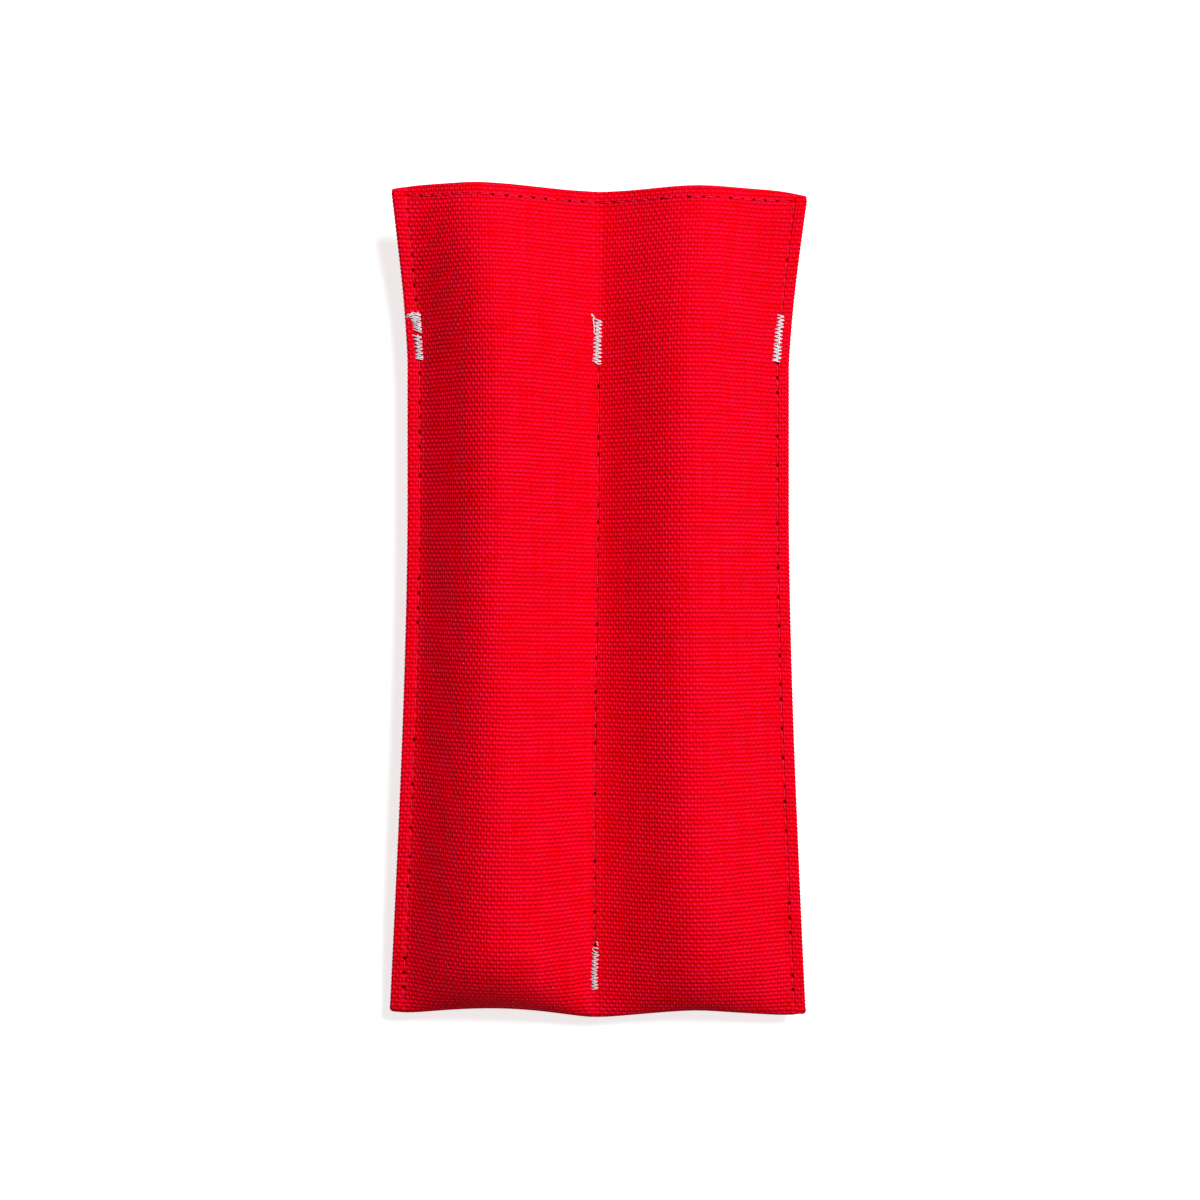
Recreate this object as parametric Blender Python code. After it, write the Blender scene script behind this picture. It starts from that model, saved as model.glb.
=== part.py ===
"""Double pen case: two sewn sleeves side by side under one tall back panel.

One strip of woven cloth, lined with a thinner one, is folded at the bottom and
sewn up the sides and the middle. The case lies on its pocket side. +Y runs from
the fold to the mouth and on to the top edge, +X runs across the two sleeves and
+Z points up, out of the back panel. The origin is on the floor under the middle
of the outline. Lengths are in metres, and the heights in the functions below are
measured along +Y from the fold.
"""

import math

import bpy
import numpy as np

# Outline: heights from the fold, the finished width there, and how much less the waist and top are
CASE_LENGTH = 0.1640
POCKET_DEPTH = 0.1390
FOLD_WIDTH = 0.0832
WAIST_NARROWING = 0.0072
TOP_NARROWING = 0.0006
LOWER_TAPER_LENGTH = 0.100
LOWER_TAPER_POWER = 1.6
UPPER_TAPER_LENGTH = 0.035
UPPER_TAPER_POWER = 1.3

# Bulge of the sleeves away from the seams, on the back and on the pocket side
FOLD_BULGE = 0.0064
WAIST_BULGE = 0.0099
TOP_BULGE = 0.0076
POCKET_BULGE = 0.0080
MOUTH_LIFT = 0.0014
MOUTH_LIFT_LENGTH = 0.025
RIDGE_ROUNDING = 0.36
SEAM_CREASE_POWER = 12.0
TOP_CREASE_POWER = 3.0
POCKET_FLAT_SHARE = 0.2

# Rounded end of each sleeve at the fold
NOSE_LENGTH = 0.017
NOSE_DRAW_IN = 0.0016

# Cloth and the space between its layers
OUTER_THICKNESS = 0.00060
LINING_THICKNESS = 0.00025
LAYER_GAP = 0.00030
LINING_SETBACK = 0.0010

# Seams: distances in from the edges, stitch lengths and thread
EDGE_MARGIN = 0.0024
SEAM_FLAT = 0.0011
TOP_STITCH_INSET = 0.0025
MOUTH_STITCH_INSET = 0.0025
TOP_STITCH_LENGTH = 0.0028
SIDE_STITCH_LENGTH = 0.0029
CENTRE_STITCH_LENGTH = 0.0034
THREAD_RADIUS = 0.00015
STITCH_RISE = 0.00010
THREAD_SEAT = 0.00022
SIDE_SEAM_END_INSET = 0.0016

# Bartacks, dense zigzags of thread that lock the ends of the seams
BARTACK_LENGTH = 0.0095
BARTACK_WIDTH = 0.0019
BARTACK_TEETH = 13
BARTACK_TOOTH_DEPTH = 0.00035
BARTACK_THICKNESS = 0.00035
MOUTH_BARTACK_INSET = 0.0004
FOLD_BARTACK_HEIGHT = 0.0038
SEAM_TO_BARTACK = 0.0006

# How finely the cloth is divided: places across half a sleeve, rows along each stretch
HALF_SLEEVE_PLACES = (0.2, 0.45, 0.7, 0.87)
BACK_ROWS = 7
NOSE_ROWS = 4
POCKET_ROWS = 5

# Share of a place or row over which the cloth's slope is read
SLOPE_STEP = 1e-4

RED_CLOTH = (0.80, 0.003, 0.02, 1.0)
RED_LINING = (0.55, 0.005, 0.02, 1.0)
RED_THREAD = (0.70, 0.003, 0.02, 1.0)
WHITE_THREAD = (0.80, 0.74, 0.72, 1.0)

# The lining's two layers stand far enough apart at the seams for the mouth's bobbin thread
HALF_GAP = THREAD_SEAT + THREAD_RADIUS + STITCH_RISE / 2
WAIST_WIDTH = FOLD_WIDTH - WAIST_NARROWING
TOP_WIDTH = FOLD_WIDTH - TOP_NARROWING
LINING_OUT = LINING_THICKNESS
OUTER_IN = LINING_OUT + LAYER_GAP
OUTER_OUT = OUTER_IN + OUTER_THICKNESS
FLOOR_TO_SEAM = POCKET_BULGE + HALF_GAP + OUTER_OUT
SEAM_FLAT_SHARE = 4 * SEAM_FLAT / (WAIST_WIDTH - 2 * EDGE_MARGIN)

# Places across the panel, counted in half sleeves from the centre seam
CENTRE_SEAM = 0
SIDE_SEAM = 2


def along(y, waist, fold, top):
    """A size at height y, which leaves its waist value towards the fold and the top."""
    low = max(1 - y / LOWER_TAPER_LENGTH, 0.0) ** LOWER_TAPER_POWER
    start = CASE_LENGTH - UPPER_TAPER_LENGTH
    high = min(max((y - start) / UPPER_TAPER_LENGTH, 0.0), 1.0) ** UPPER_TAPER_POWER
    return waist + (fold - waist) * low + (top - waist) * high


def crease_power(y):
    """How sharp the valley between the sleeves is: softer above the mouth."""
    above = min(max((y - POCKET_DEPTH) / (CASE_LENGTH - POCKET_DEPTH), 0.0), 1.0)
    return SEAM_CREASE_POWER + (TOP_CREASE_POWER - SEAM_CREASE_POWER) * above


def back_profile(place, power):
    """Height across a sleeve, 1 at the ridge: rounded ridge, straight flanks, flat seams."""
    steps = np.linspace(0, 1, 201)
    slope = steps / np.hypot(steps, RIDGE_ROUNDING) * (1 - steps**power)
    drop = np.concatenate([[0], np.cumsum((slope[1:] + slope[:-1]) / 2)])
    return 1 - float(np.interp(abs(place) / (1 - SEAM_FLAT_SHARE), steps, drop / drop[-1]))


def pocket_profile(place):
    """Height across a sleeve, 1 over its flat strip, easing to 0 at the seams."""
    reach = 1 - SEAM_FLAT_SHARE - POCKET_FLAT_SHARE
    share = max(abs(place) - POCKET_FLAT_SHARE, 0) / reach
    return (1 + math.cos(math.pi * min(share, 1))) / 2


def sleeve_place(u):
    """Place across the nearer sleeve, -1 at the centre seam to 1 at the side seam."""
    return min(abs(u), SIDE_SEAM) - 1


def across(u, y):
    sleeve_width = along(y, WAIST_WIDTH, FOLD_WIDTH, TOP_WIDTH) / 2 - EDGE_MARGIN
    inside = min(abs(u), SIDE_SEAM) / SIDE_SEAM * sleeve_width
    return math.copysign(inside + max(abs(u) - SIDE_SEAM, 0) * EDGE_MARGIN, u)


def back_height(u, y):
    bulge = along(y, WAIST_BULGE, FOLD_BULGE, TOP_BULGE)
    return HALF_GAP + bulge * back_profile(sleeve_place(u), crease_power(y))


def pocket_height(u, y):
    near_mouth = max(1 - (POCKET_DEPTH - y) / MOUTH_LIFT_LENGTH, 0.0)
    bulge = POCKET_BULGE - MOUTH_LIFT * near_mouth**2
    return HALF_GAP + bulge * pocket_profile(sleeve_place(u))


def nose(u):
    """Heights at which the rounded end of the sleeve starts and is over."""
    fullness = back_profile(sleeve_place(u), SEAM_CREASE_POWER)
    start = OUTER_OUT + NOSE_DRAW_IN * fullness
    return start, start + HALF_GAP + (NOSE_LENGTH - HALF_GAP) * fullness


def sheet_point(u, s, setback=0.0):
    """The lining's inner face. s runs from 0 at the top edge, by way of 2 at the
    fold, to 4 at the mouth, with the sleeve's rounded end between 1 and 3."""
    start, over = nose(u)
    side = 1 if s <= 2 else -1
    end = (CASE_LENGTH if side > 0 else POCKET_DEPTH) - setback
    from_end = s if side > 0 else 4 - s
    if from_end <= 1:
        y = end + (over - end) * from_end
        rise = 1.0
    else:
        angle = (2 - from_end) * math.pi / 2
        y = start + (over - start) * (1 - math.cos(angle))
        rise = math.sin(angle)
    height = back_height(u, y) if side > 0 else pocket_height(u, y)
    return np.array([across(u, y), y - CASE_LENGTH / 2, FLOOR_TO_SEAM + side * rise * height])


def outward(u, s, setback=0.0):
    """The way out of the case, square to the lining's inner face."""
    s_low = max(s - SLOPE_STEP, 0.0)
    s_high = min(s + SLOPE_STEP, 4.0)
    run_across = sheet_point(u + SLOPE_STEP, s, setback) - sheet_point(u - SLOPE_STEP, s, setback)
    run_along = sheet_point(u, s_low, setback) - sheet_point(u, s_high, setback)
    normal = np.cross(run_across, run_along)
    return normal / np.linalg.norm(normal)


def offset_point(u, s, offset, setback=0.0):
    """The point that lies offset outside the lining's inner face."""
    return sheet_point(u, s, setback) + offset * outward(u, s, setback)


def height_to_s(u, y, pocket_side=False):
    """The s of the sheet at height y, above the sleeve's rounded end."""
    over = nose(u)[1]
    end = POCKET_DEPTH if pocket_side else CASE_LENGTH
    from_end = (end - y) / (end - over)
    return 4 - from_end if pocket_side else from_end


def columns(margin=1.0):
    """Places across the panel, from edge to edge. Each u is a line of points."""
    half = [*HALF_SLEEVE_PLACES, 1 - SEAM_FLAT_SHARE]
    sleeve = [-place for place in reversed(half)] + [0.0] + half
    right = [CENTRE_SEAM, *[1 + place for place in sleeve], SIDE_SEAM, SIDE_SEAM + margin]
    return [-u for u in reversed(right[1:])] + right


def rows():
    top_stitch = TOP_STITCH_INSET / CASE_LENGTH
    mouth_stitch = 4 - MOUTH_STITCH_INSET / POCKET_DEPTH
    back = np.linspace(top_stitch, 1, BACK_ROWS)
    round_end = np.linspace(1, 3, 2 * NOSE_ROWS + 1)
    pocket = np.linspace(3, mouth_stitch, POCKET_ROWS)
    return [0.0, *back, *round_end[1:-1], *pocket, 4.0]


def material(name, colour, roughness):
    made = bpy.data.materials.new(name)
    made.use_nodes = True
    shader = made.node_tree.nodes["Principled BSDF"]
    shader.inputs["Base Color"].default_value = colour
    shader.inputs["Roughness"].default_value = roughness
    shader.inputs["Metallic"].default_value = 0.0
    return made


def add_mesh(name, points, faces, finish):
    mesh = bpy.data.meshes.new(name)
    mesh.from_pydata([tuple(point) for point in points], [], faces)
    mesh.materials.append(finish)
    mesh.validate()
    mesh.shade_smooth()
    mesh.set_sharp_from_angle(angle=math.radians(40))
    made = bpy.data.objects.new(name, mesh)
    bpy.context.collection.objects.link(made)
    return made


def slab(name, lower, upper, finish):
    """A closed sheet between two grids of points, lower[i][j] under upper[i][j]."""
    across_count = len(lower)
    along_count = len(lower[0])
    points = [point for grid in (lower, upper) for line in grid for point in line]

    def at(layer, i, j):
        return (layer * across_count + i) * along_count + j

    faces = []
    for i in range(across_count - 1):
        for j in range(along_count - 1):
            faces.append((at(1, i, j), at(1, i, j + 1), at(1, i + 1, j + 1), at(1, i + 1, j)))
            faces.append((at(0, i, j), at(0, i + 1, j), at(0, i + 1, j + 1), at(0, i, j + 1)))
    last_i = across_count - 1
    last_j = along_count - 1
    for i in range(last_i):
        faces.append((at(0, i, 0), at(1, i, 0), at(1, i + 1, 0), at(0, i + 1, 0)))
        faces.append((at(0, i + 1, last_j), at(1, i + 1, last_j), at(1, i, last_j), at(0, i, last_j)))
    for j in range(last_j):
        faces.append((at(0, 0, j + 1), at(1, 0, j + 1), at(1, 0, j), at(0, 0, j)))
        faces.append((at(0, last_i, j), at(1, last_i, j), at(1, last_i, j + 1), at(0, last_i, j + 1)))
    return add_mesh(name, points, faces, finish)


def cloth(name, inner, outer, setback, finish):
    """One strip of cloth folded round the case, between two distances from the sheet."""
    places = columns(1 - setback / EDGE_MARGIN)
    lower = [[offset_point(u, s, inner, setback) for s in rows()] for u in places]
    upper = [[offset_point(u, s, outer, setback) for s in rows()] for u in places]
    return slab(name, lower, upper, finish)


def thread(name, seats, seam_length, stitch_length, finish):
    """A thread over a row of stitches. seats(share) gives a point of the cloth's face and
    the way out of it, at a share of the seam's length."""
    stitches = max(round(seam_length / stitch_length), 2)
    centre_seat = THREAD_SEAT + THREAD_RADIUS
    curve = bpy.data.curves.new(name, "CURVE")
    curve.dimensions = "3D"
    curve.bevel_depth = THREAD_RADIUS
    curve.bevel_resolution = 0
    curve.use_fill_caps = True
    spline = curve.splines.new("POLY")
    spline.points.add(2 * stitches)
    for index, point in enumerate(spline.points):
        base, out = seats(index / (2 * stitches))
        rise = centre_seat + (STITCH_RISE if index % 2 else 0.0)
        point.co = (*(base + rise * out), 1.0)
    curve.materials.append(finish)
    made = bpy.data.objects.new(name, curve)
    bpy.context.collection.objects.link(made)
    return made


def face_seat(u, s, offset, side):
    """A point of a cloth's face and its way out, on the outside or the lining side."""
    return offset_point(u, s, offset), side * outward(u, s)


def cross_seats(s, offset, side):
    """Seats for a seam across the panel, on the flat facets between the cloth's columns."""
    stops = [u for u in columns() if abs(u) <= SIDE_SEAM]
    seats = [face_seat(u, s, offset, side) for u in stops]
    points = np.array([seat[0] for seat in seats])
    ways = np.array([seat[1] for seat in seats])
    run = np.concatenate([[0], np.cumsum(np.linalg.norm(np.diff(points, axis=0), axis=1))])
    short = BARTACK_WIDTH / 2 + THREAD_SEAT

    def seat(share):
        place = short + share * (run[-1] - 2 * short)
        base = np.array([np.interp(place, run, points[:, axis]) for axis in range(3)])
        out = np.array([np.interp(place, run, ways[:, axis]) for axis in range(3)])
        return base, out / np.linalg.norm(out)

    return seat, run[-1] - 2 * short


def back_seat(u, y):
    return face_seat(u, height_to_s(u, y), OUTER_OUT, 1)


def pocket_seat(u, y):
    """The pocket's face, or the lining's face of the back panel above the mouth."""
    if y > POCKET_DEPTH + SEAM_TO_BARTACK:
        return face_seat(u, height_to_s(u, y), 0.0, -1)
    return face_seat(u, height_to_s(u, min(y, POCKET_DEPTH), True), OUTER_OUT, 1)


def seam_down(name, u, high, low, seat_at, stitch_length, finish):
    def seats(share):
        return seat_at(u, high + share * (low - high))

    return thread(name, seats, high - low, stitch_length, finish)


def bartack(name, u, top, seat_at, over_thread, finish):
    """A bar with a toothed outline, one tooth to each swing of the zigzag."""
    under = THREAD_SEAT
    if over_thread:
        under += 2 * THREAD_RADIUS + STITCH_RISE + THREAD_SEAT
    left = []
    right = []
    for index in range(2 * BARTACK_TEETH + 1):
        base, out = seat_at(u, top - BARTACK_LENGTH * index / (2 * BARTACK_TEETH))
        half = BARTACK_WIDTH / 2
        swing = BARTACK_TOOTH_DEPTH if index % 2 else 0.0
        for line, sign, reach in ((left, -1, half - swing), (right, 1, half - BARTACK_TOOTH_DEPTH + swing)):
            line.append((base + np.array([sign * reach, 0, 0]), out))
    low = [[base + under * out for base, out in line] for line in (left, right)]
    high = [[base + (under + BARTACK_THICKNESS) * out for base, out in line] for line in (left, right)]
    if left[0][1][2] < 0:
        low.reverse()
        high.reverse()
    return slab(name, low, high, finish)


def seam_threads(finish):
    sides = ((1, OUTER_OUT, "needle"), (-1, 0.0, "bobbin"))
    for edge, s, length in (
        ("top_edge", rows()[1], TOP_STITCH_LENGTH),
        ("mouth_edge", rows()[-2], TOP_STITCH_LENGTH),
    ):
        for side, offset, kind in sides:
            seat, run = cross_seats(s, offset, side)
            thread(f"{edge}_{kind}_thread", seat, run, length, finish)
    faces = ((back_seat, "needle"), (pocket_seat, "bobbin"))
    for seat_at, kind in faces:
        for side, u in (("left", -SIDE_SEAM), ("right", SIDE_SEAM)):
            high = CASE_LENGTH - SIDE_SEAM_END_INSET
            low = SIDE_SEAM_END_INSET
            name = f"{side}_side_{kind}_thread"
            seam_down(name, u, high, low, seat_at, SIDE_STITCH_LENGTH, finish)
        high = POCKET_DEPTH - MOUTH_BARTACK_INSET - BARTACK_LENGTH - SEAM_TO_BARTACK
        low = FOLD_BARTACK_HEIGHT + BARTACK_LENGTH + SEAM_TO_BARTACK
        name = f"centre_{kind}_thread"
        seam_down(name, CENTRE_SEAM, high, low, seat_at, CENTRE_STITCH_LENGTH, finish)


def bartacks(finish):
    at_mouth = POCKET_DEPTH - MOUTH_BARTACK_INSET
    at_fold = FOLD_BARTACK_HEIGHT + BARTACK_LENGTH
    for place, u, top, over_needle_side, over_bobbin_side in (
        ("left_mouth", -SIDE_SEAM, at_mouth, True, True),
        ("centre_mouth", CENTRE_SEAM, at_mouth, False, True),
        ("right_mouth", SIDE_SEAM, at_mouth, True, True),
        ("centre_fold", CENTRE_SEAM, at_fold, False, False),
    ):
        name = f"{place}_bartack_needle_side"
        bartack(name, u, top, back_seat, over_needle_side, finish)
        name = f"{place}_bartack_bobbin_side"
        bartack(name, u, top, pocket_seat, over_bobbin_side, finish)


def main():
    for old in list(bpy.data.objects):
        bpy.data.objects.remove(old, do_unlink=True)
    red_cloth = material("red_outer_cloth", RED_CLOTH, 0.85)
    red_lining = material("red_lining_cloth", RED_LINING, 0.8)
    red_thread = material("red_sewing_thread", RED_THREAD, 0.6)
    white_thread = material("white_bartack_thread", WHITE_THREAD, 0.6)
    cloth("outer_cloth", OUTER_IN, OUTER_OUT, 0.0, red_cloth)
    cloth("lining_cloth", 0.0, LINING_OUT, LINING_SETBACK, red_lining)
    seam_threads(red_thread)
    bartacks(white_thread)


main()
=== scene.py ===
"""Looks of the double pen case: two sewn cloth sleeves side by side, lying on the pocket side.

+Y runs from the fold to the mouth and the top edge, +X across the two sleeves, and +Z out of
the back panel. All lengths are in metres. The camera looks straight down at the back panel.
"""

import math
import random
from typing import NamedTuple

import bpy
import numpy as np
from bpy.props import FloatProperty, FloatVectorProperty, IntProperty, PointerProperty
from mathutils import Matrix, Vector


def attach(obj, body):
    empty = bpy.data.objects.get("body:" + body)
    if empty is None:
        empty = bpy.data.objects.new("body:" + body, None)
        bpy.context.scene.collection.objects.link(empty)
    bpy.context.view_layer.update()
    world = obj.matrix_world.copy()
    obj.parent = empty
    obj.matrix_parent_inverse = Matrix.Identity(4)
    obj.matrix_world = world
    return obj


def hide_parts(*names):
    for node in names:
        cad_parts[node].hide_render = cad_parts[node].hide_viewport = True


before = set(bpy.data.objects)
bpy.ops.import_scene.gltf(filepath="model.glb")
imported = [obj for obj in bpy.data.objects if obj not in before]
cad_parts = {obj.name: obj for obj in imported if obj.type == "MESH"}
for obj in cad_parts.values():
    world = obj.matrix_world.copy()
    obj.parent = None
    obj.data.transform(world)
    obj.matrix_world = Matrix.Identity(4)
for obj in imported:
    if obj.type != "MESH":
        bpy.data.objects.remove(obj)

bl_info = {
    "name": "Double pen case",
    "version": (1, 0, 0),
    "blender": (4, 5, 0),
    "location": "View3D > Sidebar > Pen Case",
    "description": "Woven cloth, lining, stitches, bartacks and a small studio for a double pen case",
    "category": "Add Mesh",
}

BODY = "root"

# Places across the strip in half sleeves from the centre seam, and along it from the top edge
SIDE_SEAM = 2.0
PANEL_EDGE = 3.0
FOLD_ROW = 2.0
MOUTH_ROW = 4.0

# Tapers of the outline towards the fold and the top edge, as in the part's own form
LOWER_TAPER_LENGTH = 0.100
LOWER_TAPER_POWER = 1.6
UPPER_TAPER_LENGTH = 0.035
UPPER_TAPER_POWER = 1.3

# Cross-section of a sleeve
PROFILE_STEPS = 401
RIDGE_ROUNDING = 0.36
SEAM_CREASE_POWER = 9.0
TOP_CREASE_POWER = 2.3
TOP_BULGE_POWER = 1.55
POCKET_FLAT_SHARE = 0.2
MOUTH_LIFT = 0.0014
MOUTH_LIFT_LENGTH = 0.025

# Rounded end of the sleeves at the fold
NOSE_DRAW_IN = 0.0014
FOLD_DROP = 0.0010
LOWER_ZONE = (0.092, 0.0165)

# Corners: the top ones lift off the table and are worn round, the fold's right one lies higher
TOP_CORNER_REACH = 0.0238
CORNER_LIFT_ZONE = (1.0, 2.2)
CORNER_DROP_ZONE = (0.82, 1.09)
CORNER_DROP_POWER = 2.4
CORNER_CUT_REACH = 0.0012
FOLD_CORNER_ZONE = (1.2, 2.4)
FOLD_CORNER_REACH = 0.012
FOLD_CORNER_LIFT = 0.0006
TOP_LEAN = 0.0003

# The centre seam wanders to the left towards the fold, and the fold's end sags to the table
SEAM_DRIFT = 0.0007
SEAM_DRIFT_ZONE = (0.110, 0.040)
FOLD_SAG = 0.0030
FOLD_SAG_LENGTH = 0.045

# Layers, counted outwards from the lining's inner face, and the turned hems
LAYER_GAP = 0.00030
SEAM_GAP = 0.00006
OPEN_GAP = 0.00042
OPEN_GAP_REACH = 0.15
GAP_HEIGHT = 0.08
SEAM_FLAT = 0.0006
HEM_STEP = 0.0012
HEM_STEP_RUN = 0.0002
HEM_INNER = 0.00003

# How the cloths' meshes are divided
COLUMNS_BY_SEAM = (0.0003, 0.0008, 0.0016, 0.0028)
COLUMNS_MIDDLE = 15
MARGIN_COLUMN = 0.15
LEAST_COLUMN = 0.02
RIM_TURNS = (0.34, 0.67, 1.0)
NOSE_ROW_SHARE = 1.2
LINING_ROW_STEP = 0.0012
YARN_BUMP = 0.00006
WAIST_HEIGHT = 0.088
ROW_STRETCH = 0.8
WAY_STEP = 1e-4
TINY = 1e-6

# The weave: how far the yarns rise over each other, how round they are and how they wander
WEFT_CRIMP = 0.45
WARP_CRIMP = 0.30
WEFT_ROUND = 0.70
WARP_ROUND = 0.30
COLUMN_POWER = 0.7
ROW_POWER = 0.7
LEAST_HUMP = 0.0001
CREVICE_HEIGHT = 0.7
CROSSING_EDGE = 0.1
CREST_EDGE = 0.5
WARP_CREST = 0.4
YARN_WANDER = 0.5
YARN_WANDER_SCALE = 0.25
YARN_DRIFT = 0.4
YARN_DRIFT_SCALE = 0.18
YARN_DRIFT_SLICE = 5.0
WEFT_TONE_STEP = 7.31
WEFT_TONE_SCALE = 150
WARP_TONE_STEP = 5.17
WARP_TONE_SCALE = 60
WARP_TONE_SLICE = 9.0
WEAVE_FIBRE_SCALE = 7.0
MILLIMETRES = 1000

# Finish of the outer cloth, with painted shade in its crevices and painted highlights on its crowns
CREVICE_SHADE = 0.7
CREVICE_FIBRE = 0.2
CROWN_HIGHLIGHT = 0.9
CROWN_TONE = 2
CROWN_FIBRE = 2
FIBRE_HEIGHT = 0.25
CLOTH_ROUGHNESS = 0.95
CROWN_POLISH = 0.1
CLOTH_SPECULAR = 0.02

# Marks of the seams in the outer cloth: grooves, and holes that gape here and there, their dark inside
# painted shade
GROOVE_REACH = 0.00040
MARK_FADE = 0.3
HOLE_WIDTH = 0.00030
HOLE_LENGTH = 0.00042
HOLE_EDGE = 0.4
HOLE_DEPTH = 2.4
HOLE_SHADE_COLOUR = (0.08, 0.0, 0.0, 1)
HOLE_CHANCE = (0.38, 0.62)
HOLE_CHANCE_STEP = 3.7
HOLE_CHANCE_SCALE = 500

# Finish of the lining, which is woven finer, with painted highlights on its crowns and painted shade between
# them
LINING_WARP_SHARE = 0.5
LINING_WEFT_SHARE = 0.42
LINING_TONE = 0.35
LINING_CROWN_HIGHLIGHT = 0.5
LINING_YARN_TONE = 0.6
LINING_FIBRE = 0.4
LINING_RELIEF_SHARE = 0.35
LINING_ROUGHNESS = 0.75
LINING_POLISH = 0.15
LINING_SPECULAR = 0.25
DARK_SHARE = 0.45

# Threads: their twist and fibres, the painted shade between their plies, and each kind's roughness and
# specular level
PLIES = 2
TWISTS_PER_METRE = 900.0
PLY_DARK = 0.25
PLY_PALE = 0.75
PLY_FIBRE = 0.5
THREAD_FIBRE_SCALE = 9000.0
THREAD_BUMP = 0.00004
THREAD_SIDES = 7
SEWING_THREAD_FINISH = (0.6, 0.2)
BARTACK_THREAD_FINISH = (0.55, 0.3)

# Stitches: their arch, and the least and most of their length, width and height
ARCH_STEPS = 7
STITCH_SHARE = 0.93
STITCH_RISE = 0.00016
STITCH_DIP = 0.00030
STITCH_LEAST = (0.88, 0.85, 0.7)
STITCH_MOST = (1.04, 1.12, 1.25)

# Where the seams start and end
MOUTH_BARTACK_INSET = 0.0004
FOLD_BARTACK_HEIGHT = 0.0038
SEAM_TO_BARTACK = 0.0006
SIDE_SEAM_INSET = 0.0016
CROSS_SEAM_INSET = 0.0004

# Strands of the bartacks, with rises, dips and lifts counted in thread radii
BARTACK_SEAT = 0.00002
CORE_END = 0.97
CORE_POINTS = 30
CORE_CROSSINGS = 11
CORE_RISE = 0.5
CORE_WAVES = 40
ARCH_POWER = 0.6
ZIGZAG_POINTS = 7
ZIGZAG_DIP = -0.6
ZIGZAG_RISE = 3.2
LEAN_SCATTER = 4
BOW_SCATTER = (0.4, 1.6)
LOOP_POINTS = 7
LOOP_TURN = 0.7
LOOP_SIZE = (0.35, 0.75)
LOOP_LIFT = (1.5, 3.2)
LOOP_RIGHT_SHARE = 0.6
LOOP_BEND = 0.35
LOOP_FALL = 0.7
LOOP_THICKER = 1.5
STROKE_SEAT = 0.2
STROKE_RISE = 3.0
STROKE_LEFT_SCATTER = 0.15
STROKE_RIGHT_SCATTER = 0.1
STROKE_THICKER = 1.25

# Studio
FLOOR_COLOUR = (0.80, 0.80, 0.80, 1)
WHITE = (1, 1, 1, 1)
BLACK = (0, 0, 0, 1)
FLOOR_GLOW = 0.75
FLOOR_GAP = 0.00005
KEY_WAY = (0.374, 0.416, 0.829)
KEY_DISTANCE = 1.2
KEY_SIZE = 0.45
CAMERA_X = 0.00034
CAMERA_Y = 0.0007
CAMERA_CLIP_START = 0.01
SENSOR_WIDTH = 36.0

# How the left and the right sleeve of this case lie: no two are quite alike
SLEEVE_LIES = {
    "waist_share": (1.03, 0.97),
    "fold_share": (1.11, 0.89),
    "ridge_shift": (0.127, -0.003),
    "ridge_shift_top": (0.085, 0.005),
    "ridge_shift_fold": (-0.157, 0.033),
    "fold_rounding": (0.80, 0.20),
    "nose_length": (0.0140, 0.0260),
    "nose_slant": (1.12, 1.0),
    "nose_power": (0.50, 0.34),
    "corner_lift": (0.0034, 0.0016),
    "corner_drop": (0.0011, 0.0013),
    "corner_cut": (0.0002, 0.0006),
    "margin_droop": (0.0009, 0.0),
    "skew": (-0.0009, 0.0),
}


class BartackLie(NamedTuple):
    """One bartack: its seam and end of the case, its stray right and up, its shade (painted light that
    darkens or lightens its copy of the white thread) and its strands.
    """

    seam: float
    at_mouth: bool
    stray: tuple
    shade: float
    strands: tuple


def fibres(thickness, *routes):
    """Strands of one thickness that are drawn point by point."""
    return tuple(("draw", route, thickness) for route in routes)


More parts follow.
